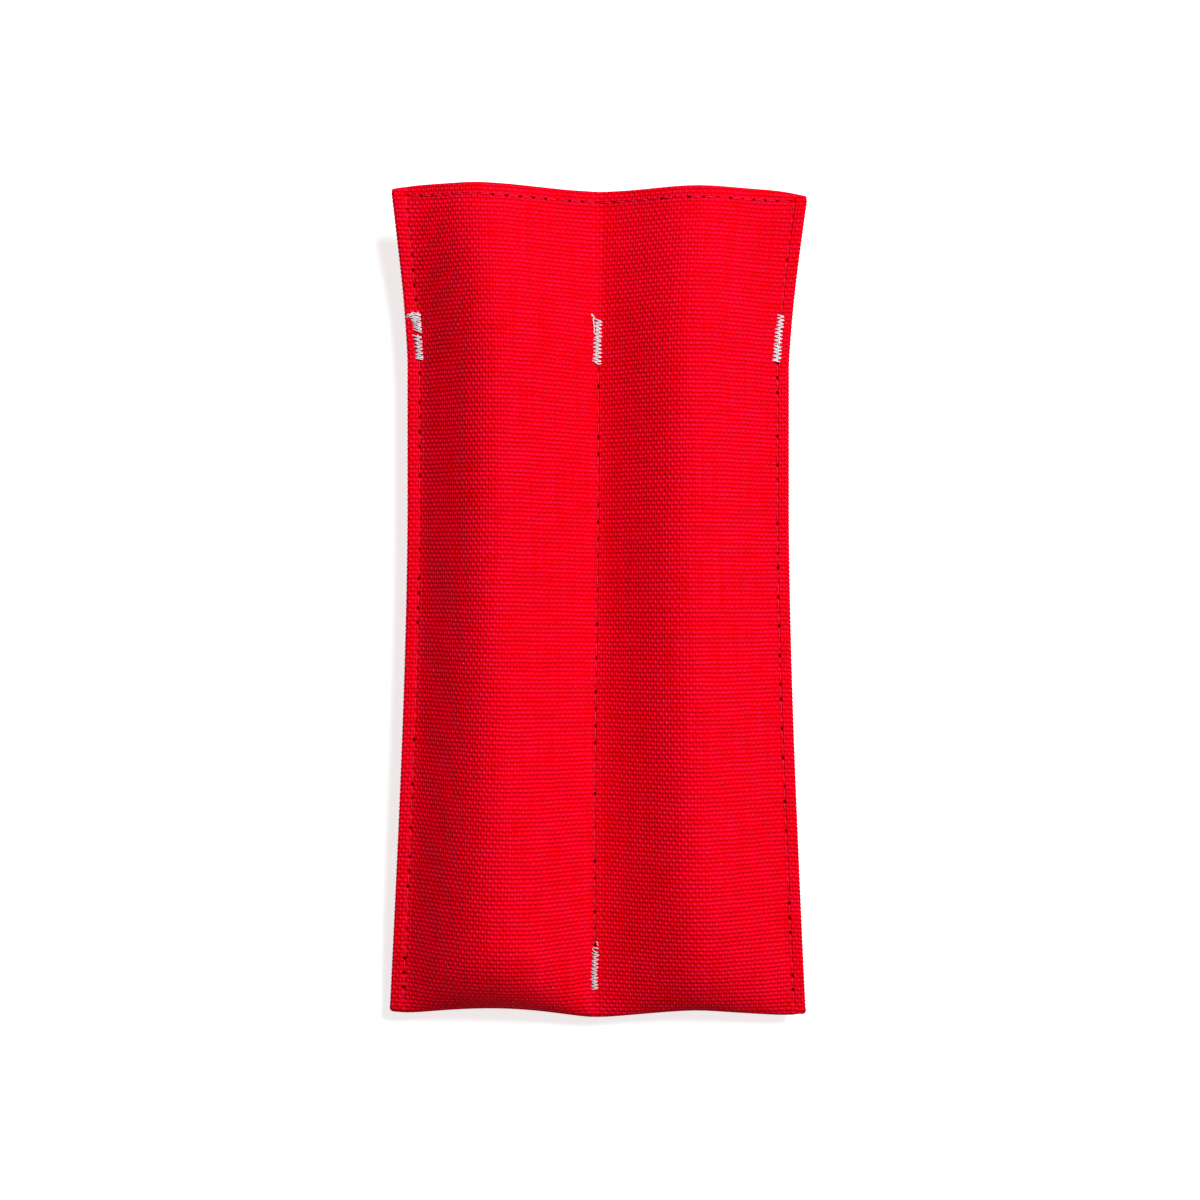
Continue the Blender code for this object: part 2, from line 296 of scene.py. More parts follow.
BARTACKS = {
    "left_mouth": BartackLie(-SIDE_SEAM, True, (0.0, 0.0005), 0.90, (
        ("core", 0.22, 0.48),
        ("strokes", 0.01, 0.13, 4, 0.95, 1.05, 0.02, 0.04, 0.55),
        ("strokes", 0.18, 0.36, 5, 0.80, 1.0, 0.09, 0.02, 0.7),
        ("zigzag", 0.03, 0.40, 0.10, 1.08, 0.20, 0.2),
        ("zigzag", 0.48, 0.72, 1.0, 1.0, 0.22, 0.4, (0.0, 0.0), 0.3),
        ("zigzag", 0.72, 0.97, 0.85, 1.05, 0.14, 0.5, (0.0, 0.10)),
        ("strokes", 0.94, 0.97, 2, 0.75, 1.0, 0.03, 0.01),
        ("tangle", 0.03, 0.20, 0.8, 8, 0.4),
        *fibres(
            0.28,
            [(0.06, -0.6, 0.0003), (0.08, -1.1, 0.0005), (0.05, -1.6, 0.0004), (0.07, -2.0, 0.0002)],
            [(0.04, -0.7, 0.0003), (0.06, -1.3, 0.0004), (0.10, -1.8, 0.0003), (0.11, -2.25, 0.0001)],
            [(0.10, -0.5, 0.0003), (0.12, -1.0, 0.0004), (0.11, -1.5, 0.0002)],
            [(0.02, -0.8, 0.0003), (0.05, -1.25, 0.0004), (0.09, -1.45, 0.0003), (0.13, -1.3, 0.0001)],
        ),
    )),
    "centre_mouth": BartackLie(0.0, True, (-0.0003, 0.0003), 0.99, (
        ("core", 0.22, 0.10),
        ("zigzag", 0.03, 0.46, 0.62, 1.05, 0.12, 0.7, (0.05, 0.0)),
        ("zigzag", 0.46, 0.94, 0.95, 1.0, 0.14, 0.3),
        *fibres(0.7, [(0.0, -0.85, 0.0001), (0.10, -0.72, 0.0004), (0.22, -0.58, 0.0004), (0.34, -0.6, 0.0)]),
        *fibres(
            1.0, [(0.90, -0.9, 0.0001), (0.945, -0.3, 0.0004), (0.985, 0.35, 0.0004), (0.965, 0.9, 0.0001)]
        ),
        *fibres(
            0.25,
            [(0.03, -0.5, 0.0003), (-0.02, -0.8, 0.0004), (-0.06, -1.1, 0.0003), (-0.12, -1.7, 0.0001)],
            [(0.04, -0.4, 0.0003), (-0.01, -0.7, 0.0005), (-0.04, -1.2, 0.0003), (-0.08, -1.35, 0.0001)],
        ),
    )),
    "right_mouth": BartackLie(SIDE_SEAM, True, (-0.0001, 0.0009), 1.05, (
        ("core", 0.22, 0.12),
        ("zigzag", 0.01, 0.30, 0.72, 0.84, 0.12, 0.2, (0.05, -0.02)),
        ("zigzag", 0.30, 0.62, 0.95, 0.86, 0.10, 0.3, (-0.02, -0.08)),
        ("zigzag", 0.62, 0.97, 0.95, 0.98, 0.10, 0.5, (-0.08, -0.10), 0.6),
        *fibres(1.0, [(0.93, 0.1, 0.0002), (0.97, -0.6, 0.0003), (0.955, -1.25, 0.0001)]),
    )),
    "centre_fold": BartackLie(0.0, False, (0.0, 0.0013), 0.80, (
        ("core", 0.16, 0.24),
        ("zigzag", 0.15, 0.55, 0.70, 0.76, 0.24, 0.35, (0.08, -0.06), 0.5),
        ("zigzag", 0.55, 1.0, 0.82, 0.74, 0.22, 0.35, (-0.10, 0.0), 0.5),
        *fibres(0.7, [(0.0, 0.32, 0.0), (0.02, 0.60, 0.0002), (0.05, 0.52, 0.0002), (0.075, 0.70, 0.0)]),
        *fibres(0.8, [(0.12, -0.35, 0.0), (0.125, 0.2, 0.0004), (0.14, 0.75, 0.0)]),
    )),
}
POCKET_SIDE_STRANDS = (
    ("core", 0.25),
    ("zigzag", 0.01, 0.99, 0.92, 0.95, 0.10),
    ("tangle", 0.9, 0.98, 0.6, 3),
)


def metres(label, description, default):
    return FloatProperty(name=label, description=description, default=default, unit="LENGTH")


def paint(label, description, default):
    return FloatVectorProperty(name=label, description=description, default=default, subtype="COLOR", size=4)


class CaseShape(bpy.types.PropertyGroup):
    """Sizes of the folded case"""

    length: metres("Length", "From the fold to the top edge", 0.1640)
    pocket_depth: metres("Pocket Depth", "From the fold to the mouth", 0.1390)
    fold_width: metres("Fold Width", "Width at the fold", 0.0832)
    waist_width: metres("Waist Width", "Width where the sleeves are fullest", 0.0760)
    top_width: metres("Top Width", "Width at the top edge", 0.0826)
    fold_bulge: metres("Fold Bulge", "Ridge height near the fold", 0.0113)
    waist_bulge: metres("Waist Bulge", "Ridge height in the middle", 0.01075)
    top_bulge: metres("Top Bulge", "Ridge height at the top edge", 0.0060)
    pocket_bulge: metres("Pocket Bulge", "Depth of the pocket side below the seams", 0.0080)
    edge_margin: metres("Edge Margin", "From a side seam to the edge", 0.0024)
    cloth_thickness: metres("Cloth Thickness", "Thickness of the outer cloth", 0.0006)
    lining_thickness: metres("Lining Thickness", "Thickness of the lining", 0.00025)
    lining_setback: metres("Lining Setback", "From the cloth's edge to the lining's", 0.0013)


class CaseWeave(bpy.types.PropertyGroup):
    """Yarns and colours of the cloths"""

    warp_pitch: metres("Warp Pitch", "Distance between lengthwise yarns", 0.00062)
    weft_pitch: metres("Weft Pitch", "Distance between crosswise yarns", 0.00084)
    relief: metres("Relief", "Height of the weave's bumps", 0.00025)
    cloth_colour: paint("Cloth", "The outer yarns", (0.79, 0.0, 0.0002, 1))
    # The colour of the painted highlights on the yarns' crowns
    crown_highlight_colour: paint("Crowns", "Tops of the yarns", (0.97, 0.004, 0.054, 1))
    # The colour of the painted shade between the yarns
    crevice_shade_colour: paint("Crevices", "Between the yarns", (0.38, 0.0, 0.0, 1))
    lining_colour: paint("Lining", "The lining's yarns", (0.55, 0.004, 0.016, 1))


class CaseSewing(bpy.types.PropertyGroup):
    """Stitches, bartacks and their threads"""

    top_stitch: metres("Top Stitch", "Stitch length along the top and the mouth", 0.0028)
    side_stitch: metres("Side Stitch", "Stitch length down the sides", 0.0029)
    centre_stitch: metres("Centre Stitch", "Stitch length down the middle", 0.0034)
    edge_inset: metres("Edge Inset", "From the top or the mouth to its stitches", 0.0025)
    thread_radius: metres("Thread Radius", "Half the sewing thread's width", 0.00012)
    bartack_length: metres("Bartack Length", "Length of each bar of zigzag", 0.0095)
    bartack_width: metres("Bartack Width", "Width of the zigzag", 0.0019)
    bartack_teeth: IntProperty(name="Bartack Teeth", description="Swings of the zigzag", default=13)
    bartack_thread_radius: metres("Bartack Thread Radius", "Half the white thread's width", 0.00012)
    thread_colour: paint("Sewing Thread", "The seams", (0.92, 0.004, 0.030, 1))
    bartack_colour: paint("Bartack Thread", "The bartacks", (0.90, 0.85, 0.90, 1))


class CaseStudio(bpy.types.PropertyGroup):
    """Camera, lights and floor"""

    camera_height: metres("Camera Height", "Above the floor", 0.461)
    lens: FloatProperty(name="Lens", description="Focal length in millimetres", default=67.9)
    key_power: FloatProperty(name="Key Light", description="Power of the key", default=20.0, unit="POWER")
    fill_strength: FloatProperty(name="Fill Light", description="Strength of the sky", default=0.105)
    floor_size: metres("Floor Size", "Width of the floor", 3.0)


def share(value, start, end):
    """How far value has come from start to end, 0 to 1."""
    return np.clip((value - start) / (end - start), 0.0, 1.0)


def ease(value, start, end):
    """Like share, with a soft start and finish."""
    part = share(value, start, end)
    return part * part * (3 - 2 * part)


class CaseForm:
    """Where the folded strip lies.

    u runs across in half sleeves, 0 at the centre seam, 2 at the right side seam, 3 at the right
    edge and negative on the left. s runs along the strip, 0 at the top edge, 1 to 3 round the
    sleeve's closed end with 2 at the fold, and 4 at the mouth. Heights y are from the fold.
    """

    def __init__(self, shape):
        self.shape = shape
        self.lining_out = shape.lining_thickness
        self.cloth_in = self.lining_out + LAYER_GAP
        self.cloth_out = self.cloth_in + shape.cloth_thickness
        self.seam_height = shape.pocket_bulge + OPEN_GAP + self.cloth_out
        self.seam_share = 4 * SEAM_FLAT / (shape.waist_width - 2 * shape.edge_margin)
        self.steps = np.linspace(0, 1, PROFILE_STEPS)
        self.creased = self.flank(RIDGE_ROUNDING, SEAM_CREASE_POWER)
        self.soft = self.flank(RIDGE_ROUNDING, TOP_CREASE_POWER)
        roundings = SLEEVE_LIES["fold_rounding"]
        self.left_low, self.right_low = (self.flank(rounding, SEAM_CREASE_POWER) for rounding in roundings)

    def flank(self, rounding, power):
        """Height from the ridge, 1, down to the seam, 0: rounded ridge and straight flank."""
        slope = self.steps / np.hypot(self.steps, rounding) * (1 - self.steps**power)
        drop = np.concatenate([[0], np.cumsum((slope[1:] + slope[:-1]) / 2)])
        return 1 - drop / drop[-1]

    def lie(self, u, name):
        """The named number of the left or the right sleeve, after the sign of u."""
        return np.where(u < 0, *SLEEVE_LIES[name])

    def lower_zone(self, y):
        return ease(y, *LOWER_ZONE)

    def low(self, y):
        return np.maximum(1 - y / LOWER_TAPER_LENGTH, 0.0) ** LOWER_TAPER_POWER

    def high(self, y):
        length = self.shape.length
        return share(y, length - UPPER_TAPER_LENGTH, length) ** UPPER_TAPER_POWER

    def near_top(self, y):
        return ease(y, self.shape.length - TOP_CORNER_REACH, self.shape.length)

    def along(self, y, waist, fold, top):
        """A size at height y, which leaves its waist value towards the fold and the top."""
        return waist + (fold - waist) * self.low(y) + (top - waist) * self.high(y)

    def place(self, u, y):
        """Place across the nearer sleeve, -1 at the centre seam, 0 at the ridge, 1 at the side."""
        plain = np.minimum(np.abs(u), SIDE_SEAM) - 1
        ridge = self.lie(u, "ridge_shift") + self.lie(u, "ridge_shift_top") * self.high(y)
        ridge = ridge + self.lie(u, "ridge_shift_fold") * self.lower_zone(y)
        return (plain - ridge) / np.where(plain < ridge, 1 + ridge, 1 - ridge)

    def back_profile(self, u, y):
        above = share(y, self.shape.pocket_depth, self.shape.length)
        reach = np.abs(self.place(u, y)) / (1 - self.seam_share)
        creased = np.interp(reach, self.steps, self.creased)
        left = np.interp(reach, self.steps, self.left_low)
        low = np.where(u < 0, left, np.interp(reach, self.steps, self.right_low))
        creased = creased + (low - creased) * self.lower_zone(y)
        return creased + (np.interp(reach, self.steps, self.soft) - creased) * above

    def pocket_profile(self, u):
        reach = 1 - self.seam_share - POCKET_FLAT_SHARE
        plain = np.minimum(np.abs(u), SIDE_SEAM) - 1
        part = np.clip((np.abs(plain) - POCKET_FLAT_SHARE) / reach, 0, 1)
        return (1 + np.cos(np.pi * part)) / 2

    def gap(self, u):
        """Half the gap between the lining's two layers, closed up at the seams."""
        inside = 1 - np.abs(self.place(u, GAP_HEIGHT))
        return SEAM_GAP + (OPEN_GAP - SEAM_GAP) * ease(inside, 0.0, OPEN_GAP_REACH)

    def from_middle(self, u, y):
        """Distance from the centre seam, were it straight."""
        shape = self.shape
        half = self.along(y, shape.waist_width, shape.fold_width, shape.top_width) / 2
        inside = np.minimum(np.abs(u), SIDE_SEAM) / SIDE_SEAM * (half - shape.edge_margin)
        cut = self.lie(u, "corner_cut") * share(y, shape.length - CORNER_CUT_REACH, shape.length) ** 2
        return inside + np.maximum(np.abs(u) - SIDE_SEAM, 0) * (shape.edge_margin - cut)

    def across(self, u, y):
        """Distance to the right of the middle of the case."""
        near_centre = 1 - np.minimum(np.abs(u) / SIDE_SEAM, 1)
        drift = SEAM_DRIFT * ease(y, *SEAM_DRIFT_ZONE) * near_centre
        return np.sign(u) * self.from_middle(u, y) + TOP_LEAN * self.high(y) - drift

    def skew(self, u, y):
        """How far the rows of this case lie up or down from their straight line."""
        side = self.from_middle(u, y) / (self.shape.waist_width / 2)
        corner = FOLD_CORNER_LIFT * ease(u, *FOLD_CORNER_ZONE)
        corner = corner * ease(-y, -FOLD_CORNER_REACH, 0.0)
        near = share(side, *CORNER_DROP_ZONE) ** CORNER_DROP_POWER
        return corner - self.lie(u, "skew") * side - self.lie(u, "corner_drop") * near * self.near_top(y)

    def back_height(self, u, y):
        waist = self.shape.waist_bulge * self.lie(u, "waist_share")
        fold = self.shape.fold_bulge * self.lie(u, "fold_share")
        bulge = waist + (fold - waist) * self.low(y)
        bulge = bulge + (self.shape.top_bulge - waist) * self.high(y) ** TOP_BULGE_POWER
        lift = self.lie(u, "corner_lift") * self.near_top(y)
        lift = lift * ease(np.abs(u), *CORNER_LIFT_ZONE)
        return self.gap(u) + bulge * self.back_profile(u, y) + lift

    def sag(self, y):
        return FOLD_SAG * np.maximum(1 - y / FOLD_SAG_LENGTH, 0) ** 2

    def droop(self, u, y):
        """How far the seams and the margin hang below the seams' height in the middle."""
        margin = np.maximum(np.abs(u) - SIDE_SEAM, 0)
        return self.sag(y) + self.lie(u, "margin_droop") * self.low(y) * margin

    def pocket_height(self, u, y):
        near_mouth = np.maximum(1 - (self.shape.pocket_depth - y) / MOUTH_LIFT_LENGTH, 0.0)
        bulge = self.shape.pocket_bulge - MOUTH_LIFT * near_mouth**2 - self.sag(y)
        return self.gap(u) + bulge * self.pocket_profile(u)

    def nose(self, u):
        """Heights at which the rounded end of the sleeve starts and is over."""
        fullness = self.back_profile(u, 0.0)
        gap = self.gap(u)
        start = self.cloth_out - FOLD_DROP + NOSE_DRAW_IN * fullness
        length = self.lie(u, "nose_length") - gap
        return start, start + gap + length * fullness ** self.lie(u, "nose_power")

    def strip_height(self, u, s, setback):
        """Height y from the fold, and how much of the sleeve's fullness is reached there."""
        start, over = self.nose(u)
        back = s <= FOLD_ROW
        end = np.where(back, self.shape.length, self.shape.pocket_depth) - setback
        from_end = np.where(back, s, MOUTH_ROW - s)
        angle = (2 - np.maximum(from_end, 1)) * np.pi / 2
        straight = end + (over - end) * np.minimum(from_end, 1)
        y = np.where(from_end <= 1, straight, start + (over - start) * (1 - np.cos(angle)))
        slant = 1 + (self.lie(u, "nose_slant") - 1) * self.back_profile(u, 0.0) * back
        return y, np.where(from_end <= 1, 1.0, np.maximum(np.sin(angle), 0.0) ** slant)

    def point(self, u, s, setback):
        """The lining's inner face at u and s, which are arrays of one shape."""
        y, rise = self.strip_height(u, s, setback)
        back = s <= FOLD_ROW
        height = np.where(back, self.back_height(u, y), self.pocket_height(u, y))
        z = self.seam_height - self.droop(u, y) + np.where(back, 1, -1) * rise * height
        return np.stack([self.across(u, y), y + self.skew(u, y) - self.shape.length / 2, z], axis=-1)

    def outward(self, u, s, setback):
        """The way out of the case, square to the lining's inner face."""
        run_across = self.point(u + WAY_STEP, s, setback) - self.point(u - WAY_STEP, s, setback)
        low = np.maximum(s - WAY_STEP, 0.0)
        high = np.minimum(s + WAY_STEP, MOUTH_ROW)
        run_along = self.point(u, low, setback) - self.point(u, high, setback)
        way = np.cross(run_across, run_along)
        return way / np.linalg.norm(way, axis=-1, keepdims=True)

    def s_of_height(self, u, y, pocket_side, setback):
        """s where the strip is y above the fold, above the sleeve's closed end."""
        over = float(self.nose(np.array(float(u)))[1])
        end = (self.shape.pocket_depth if pocket_side else self.shape.length) - setback
        from_end = (end - y) / (end - over)
        return MOUTH_ROW - from_end if pocket_side else from_end


class ClothSheet:
    """One cloth of the strip as a closed sheet with rolled rims, and the map of its yarns.

    inner and outer are its faces' distances from the lining's inner face, and hem_inner is the
    inner face's distance inside the turned hem, which starts HEM_STEP from the edge.
    """

    def __init__(self, form, inner, outer, hem_inner, setback, row_step, yarn_bump):
        self.form = form
        self.inner = inner
        self.outer = outer
        self.hem_inner = hem_inner
        self.roll = (outer - hem_inner) / 2
        self.setback = setback + self.roll
        self.row_step = row_step
        self.yarn_bump = yarn_bump
        self.us, self.side_rim, self.side_hem = self.columns()
        self.ss, self.end_rim, self.end_hem = self.rows()
        self.upper = self.grid(True)
        self.lower = self.grid(False)
        self.across_map, self.along_map = self.yarn_map()

    def columns(self):
        """u of each column, how far it is round the rim, and whether it is in the hem."""
        margin = self.form.shape.edge_margin
        sleeve = self.form.shape.waist_width / 2 - margin
        near = np.array(COLUMNS_BY_SEAM) / sleeve * SIDE_SEAM
        middle = np.linspace(near[-1], SIDE_SEAM - near[-1], COLUMNS_MIDDLE)
        hem_start = PANEL_EDGE - (HEM_STEP + HEM_STEP_RUN) / margin
        hem = PANEL_EDGE - HEM_STEP / margin
        edge = PANEL_EDGE - self.setback / margin
        flat = [0.0, *near, *middle[1:-1], *(SIDE_SEAM - near[::-1]), SIDE_SEAM, SIDE_SEAM + MARGIN_COLUMN]
        flat += [u for u in (hem_start, hem) if u < edge - LEAST_COLUMN] + [edge]
        rim = [0.0] * len(flat) + list(RIM_TURNS)
        us = flat + [edge] * len(RIM_TURNS)
        in_hem = [u > hem_start + TINY for u in us]
        both = [-u for u in us[:0:-1]] + us
        return np.array(both), np.array(rim[:0:-1] + rim), np.array(in_hem[:0:-1] + in_hem)

    def rows(self):
        """s of each row, how far it is round the rim, and whether it is in the hem."""
        back = self.form.shape.length - self.setback
        pocket = self.form.shape.pocket_depth - self.setback
        hem = [HEM_STEP - self.setback, HEM_STEP + HEM_STEP_RUN - self.setback]
        hem = [place for place in hem if place > 0]
        start = max(hem, default=0.0) + self.row_step

        def panel_rows(length):
            """Rows of a panel, from its edge, 0, towards the sleeve's closed end, 1."""
            steps = np.arange(start, length, self.row_step)
            return [0.0, *(place / length for place in hem), *(steps / length)]

        rims = len(RIM_TURNS)
        nose_rows = int(2 * max(SLEEVE_LIES["nose_length"]) * NOSE_ROW_SHARE / self.row_step) | 1
        nose = np.linspace(FOLD_ROW - 1, FOLD_ROW + 1, nose_rows)
        pocket_rows = [MOUTH_ROW - s for s in panel_rows(pocket)[::-1]]
        ss = np.array([0.0] * rims + panel_rows(back) + list(nose) + pocket_rows + [MOUTH_ROW] * rims)
        rim = np.zeros(len(ss))
        rim[:rims] = RIM_TURNS[::-1]
        rim[-rims:] = RIM_TURNS
        from_end = np.where(ss < FOLD_ROW, ss * back, (MOUTH_ROW - ss) * pocket)
        return ss, rim, from_end < HEM_STEP - self.setback + TINY

    def grid(self, top):
        """Points of the outer face, or of the inner one, which meet round the rim."""
        u = np.repeat(self.us[:, None], len(self.ss), axis=1)
        s = np.repeat(self.ss[None, :], len(self.us), axis=0)
        side = np.sin(self.side_rim * np.pi / 2)[:, None]
        end = np.sin(self.end_rim * np.pi / 2)[None, :]
        run_side = side * np.sqrt(1 - end**2 / 2)
        run_end = end * np.sqrt(1 - side**2 / 2)
        rise = np.sqrt(np.maximum(1 - run_side**2 - run_end**2, 0))
        middle = (self.outer + self.hem_inner) / 2
        if top:
            offset = middle + self.roll * rise
        else:
            in_hem = self.side_hem[:, None] | self.end_hem[None, :]
            offset = np.where(in_hem, middle - self.roll * rise, self.inner)
        base = self.form.point(u, s, self.setback)
        way = self.form.outward(u, s, self.setback)
        points = base + offset[..., None] * way
        bump = 1 + self.yarn_bump / self.roll * np.cos(np.arange(len(self.ss)) * np.pi)[None, :]
        points[..., 0] += np.sign(u) * run_side * self.roll * bump
        points[..., 1] += run_end * self.roll
        return points

    def yarn_map(self):
        """Distance along the crosswise and the lengthwise yarns, to every point."""
        jumps = np.diff(self.upper, axis=1)
        length = np.linalg.norm(jumps, axis=2)
        steps = np.maximum(np.abs(jumps[..., 1]), ROW_STRETCH * length)
        along = np.concatenate([np.zeros((len(self.us), 1)), np.cumsum(steps, axis=1)], axis=1)
        back = self.ss < FOLD_ROW - 1
        rising = self.upper[:, back][:, ::-1]
        waist = WAIST_HEIGHT - self.form.shape.length / 2
        at_waist = [[np.interp(waist, column[:, 1], column[:, axis]) for axis in (0, 2)] for column in rising]
        run = np.concatenate([[0], np.cumsum(np.linalg.norm(np.diff(at_waist, axis=0), axis=1))])
        middle = len(self.us) // 2
        run -= run[middle]
        skew = self.form.skew(self.us, np.full(len(self.us), WAIST_HEIGHT))
        pairs = zip(rising, along[:, back][:, ::-1], skew)
        level = np.array([np.interp(waist + lean, column[:, 1], places) for column, places, lean in pairs])
        along += (level[middle] - level)[:, None]
        extra = along[:, -1:] - along[:, -1:].mean()
        along = along - extra * share(self.ss, FOLD_ROW, FOLD_ROW + 1)[None, :]
        return np.repeat(run[:, None], len(self.ss), axis=1), along

    def mesh(self, name):
        count_u, count_s = self.upper.shape[:2]
        upper_at = np.arange(count_u * count_s).reshape(count_u, count_s)
        inside = np.zeros((count_u, count_s), bool)
        inside[1:-1, 1:-1] = True
        lower_at = upper_at.copy()
        lower_at[inside] = upper_at.size + np.arange(inside.sum())
        points = np.concatenate([self.upper.reshape(-1, 3), self.lower[inside]])
        maps = np.stack([self.across_map, self.along_map], axis=-1)
        maps = np.concatenate([maps.reshape(-1, 2), maps[inside]])

        def quads(at):
            return np.stack([at[:-1, :-1], at[:-1, 1:], at[1:, 1:], at[1:, :-1]], axis=-1).reshape(-1, 4)

        faces = np.concatenate([quads(upper_at), quads(lower_at)[:, ::-1]])
        return mesh_from_arrays(name, points, faces, maps)

    def seat(self, u, s, side=1):
        """Points on the cloth's face and the ways out of it, on its outer or its inner side."""
        way = self.form.outward(u, s, self.setback)
        offset = self.outer if side > 0 else self.inner
        return self.form.point(u, s, self.setback) + offset * way, side * way


def mesh_from_arrays(name, points, faces, maps):
    """A smooth mesh of quads whose map, in metres, is given at every point."""
    mesh = bpy.data.meshes.new(name)
    mesh.vertices.add(len(points))
    mesh.vertices.foreach_set("co", points.astype(np.float32).ravel())
    mesh.loops.add(faces.size)
    mesh.loops.foreach_set("vertex_index", faces.astype(np.int32).ravel())
    mesh.polygons.add(len(faces))
    mesh.polygons.foreach_set("loop_start", np.arange(0, faces.size, 4, dtype=np.int32))
    layer = mesh.uv_layers.new(name="yarns")
    layer.data.foreach_set("uv", maps[faces.ravel()].astype(np.float32).ravel())
    mesh.update(calc_edges=True)
    mesh.validate()
    mesh.shade_smooth()
    return mesh


def add_object(name, data):
    """Links a new object that stands at the origin."""
    made = bpy.data.objects.new(name, data)
    bpy.context.collection.objects.link(made)
    return made


def add_piece(name, mesh, node):
    """Adds a finished piece, in place of the named solid."""
    piece = add_object(name, mesh)
    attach(piece, BODY)
    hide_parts(node)
    return piece


def add_cloth(name, sheet, material, node):
    """Adds one of the two cloths."""
    mesh = sheet.mesh(name)
    mesh.materials.append(material)
    piece = add_piece(name, mesh, node)


def maths_method(operation, reflected=False):
    """A method that adds a Math node, with the values the other way round if reflected."""

    def method(self, *others):
        values = (*others, self) if reflected else (self, *others)
        return self.graph.node("ShaderNodeMath", {"operation": operation}, dict(enumerate(values)))

    return method


class Signal:
    """A socket of a node tree that takes part in Python expressions."""

    def __init__(self, graph, socket):
        self.graph = graph
        self.socket = socket

    __add__ = maths_method("ADD")
    __radd__ = maths_method("ADD", True)
    __sub__ = maths_method("SUBTRACT")
    __rsub__ = maths_method("SUBTRACT", True)
    __mul__ = maths_method("MULTIPLY")
    __rmul__ = maths_method("MULTIPLY", True)
    __truediv__ = maths_method("DIVIDE")
    __rtruediv__ = maths_method("DIVIDE", True)
    __pow__ = maths_method("POWER")
    __rpow__ = maths_method("POWER", True)
    floor = maths_method("FLOOR")
    fract = maths_method("FRACT")
    cos = maths_method("COSINE")
    absolute = maths_method("ABSOLUTE")
    larger = maths_method("MAXIMUM")
    smaller = maths_method("MINIMUM")

    def limited(self):
        return self.larger(0.0).smaller(1.0)

    def between(self, start, end):
        """0 at start, 1 at end, eased."""
        sockets = {"Value": self, "From Min": start, "From Max": end}
        return self.graph.node("ShaderNodeMapRange", {"interpolation_type": "SMOOTHSTEP"}, sockets)


class Graph:
    """Adds nodes to a shader or geometry tree."""

    def __init__(self, tree):
        self.tree = tree

    def node(self, kind, settings=None, sockets=None, output=0):
        made = self.tree.nodes.new(kind)
        for name, value in (settings or {}).items():
            setattr(made, name, value)
        for name, value in (sockets or {}).items():
            if isinstance(value, Signal):
                self.tree.links.new(value.socket, made.inputs[name])
            else:
                made.inputs[name].default_value = value
        return Signal(self, made.outputs[output]) if len(made.outputs) else None

    def mix(self, factor, first, second):
        """A colour between two."""
        sockets = {"Factor": factor, 6: first, 7: second}
        return self.node("ShaderNodeMix", {"data_type": "RGBA"}, sockets, 2)

    def noise(self, vector, scale, detail, dimensions="3D"):
        sockets = {"Vector": vector, "Scale": scale, "Detail": detail}
        return self.node("ShaderNodeTexNoise", {"noise_dimensions": dimensions}, sockets)

    def join(self, x, y, z=0.0):
        return self.node("ShaderNodeCombineXYZ", None, {"X": x, "Y": y, "Z": z})


def new_material(name):
    material = bpy.data.materials.new(name)
    material.use_nodes = True
    material.node_tree.nodes.clear()
    return material, Graph(material.node_tree)


def finish_material(graph, colour, roughness, height, depth, specular):
    """Ends a tree in a Principled shader whose normal follows a height."""
    bump = graph.node("ShaderNodeBump", None, {"Height": height, "Distance": depth})
    sockets = {
        "Base Color": colour,
        "Roughness": roughness,
        "Specular IOR Level": specular,
        "Normal": bump,
    }
    shader = graph.node("ShaderNodeBsdfPrincipled", None, sockets)
    graph.node("ShaderNodeOutputMaterial", None, {"Surface": shader})


def darker(colour):
    """The shade between plies and under the crowns of the lining."""
    return tuple(part * DARK_SHARE for part in colour[:3]) + (1.0,)


def yarn_coordinates(graph):
    """Metres along the crosswise and the lengthwise yarns."""
    mapped = graph.node("ShaderNodeUVMap", {"uv_map": "yarns"})
    across = graph.node("ShaderNodeSeparateXYZ", None, {"Vector": mapped})
    along = graph.node("ShaderNodeSeparateXYZ", None, {"Vector": mapped}, 1)
    return across, along


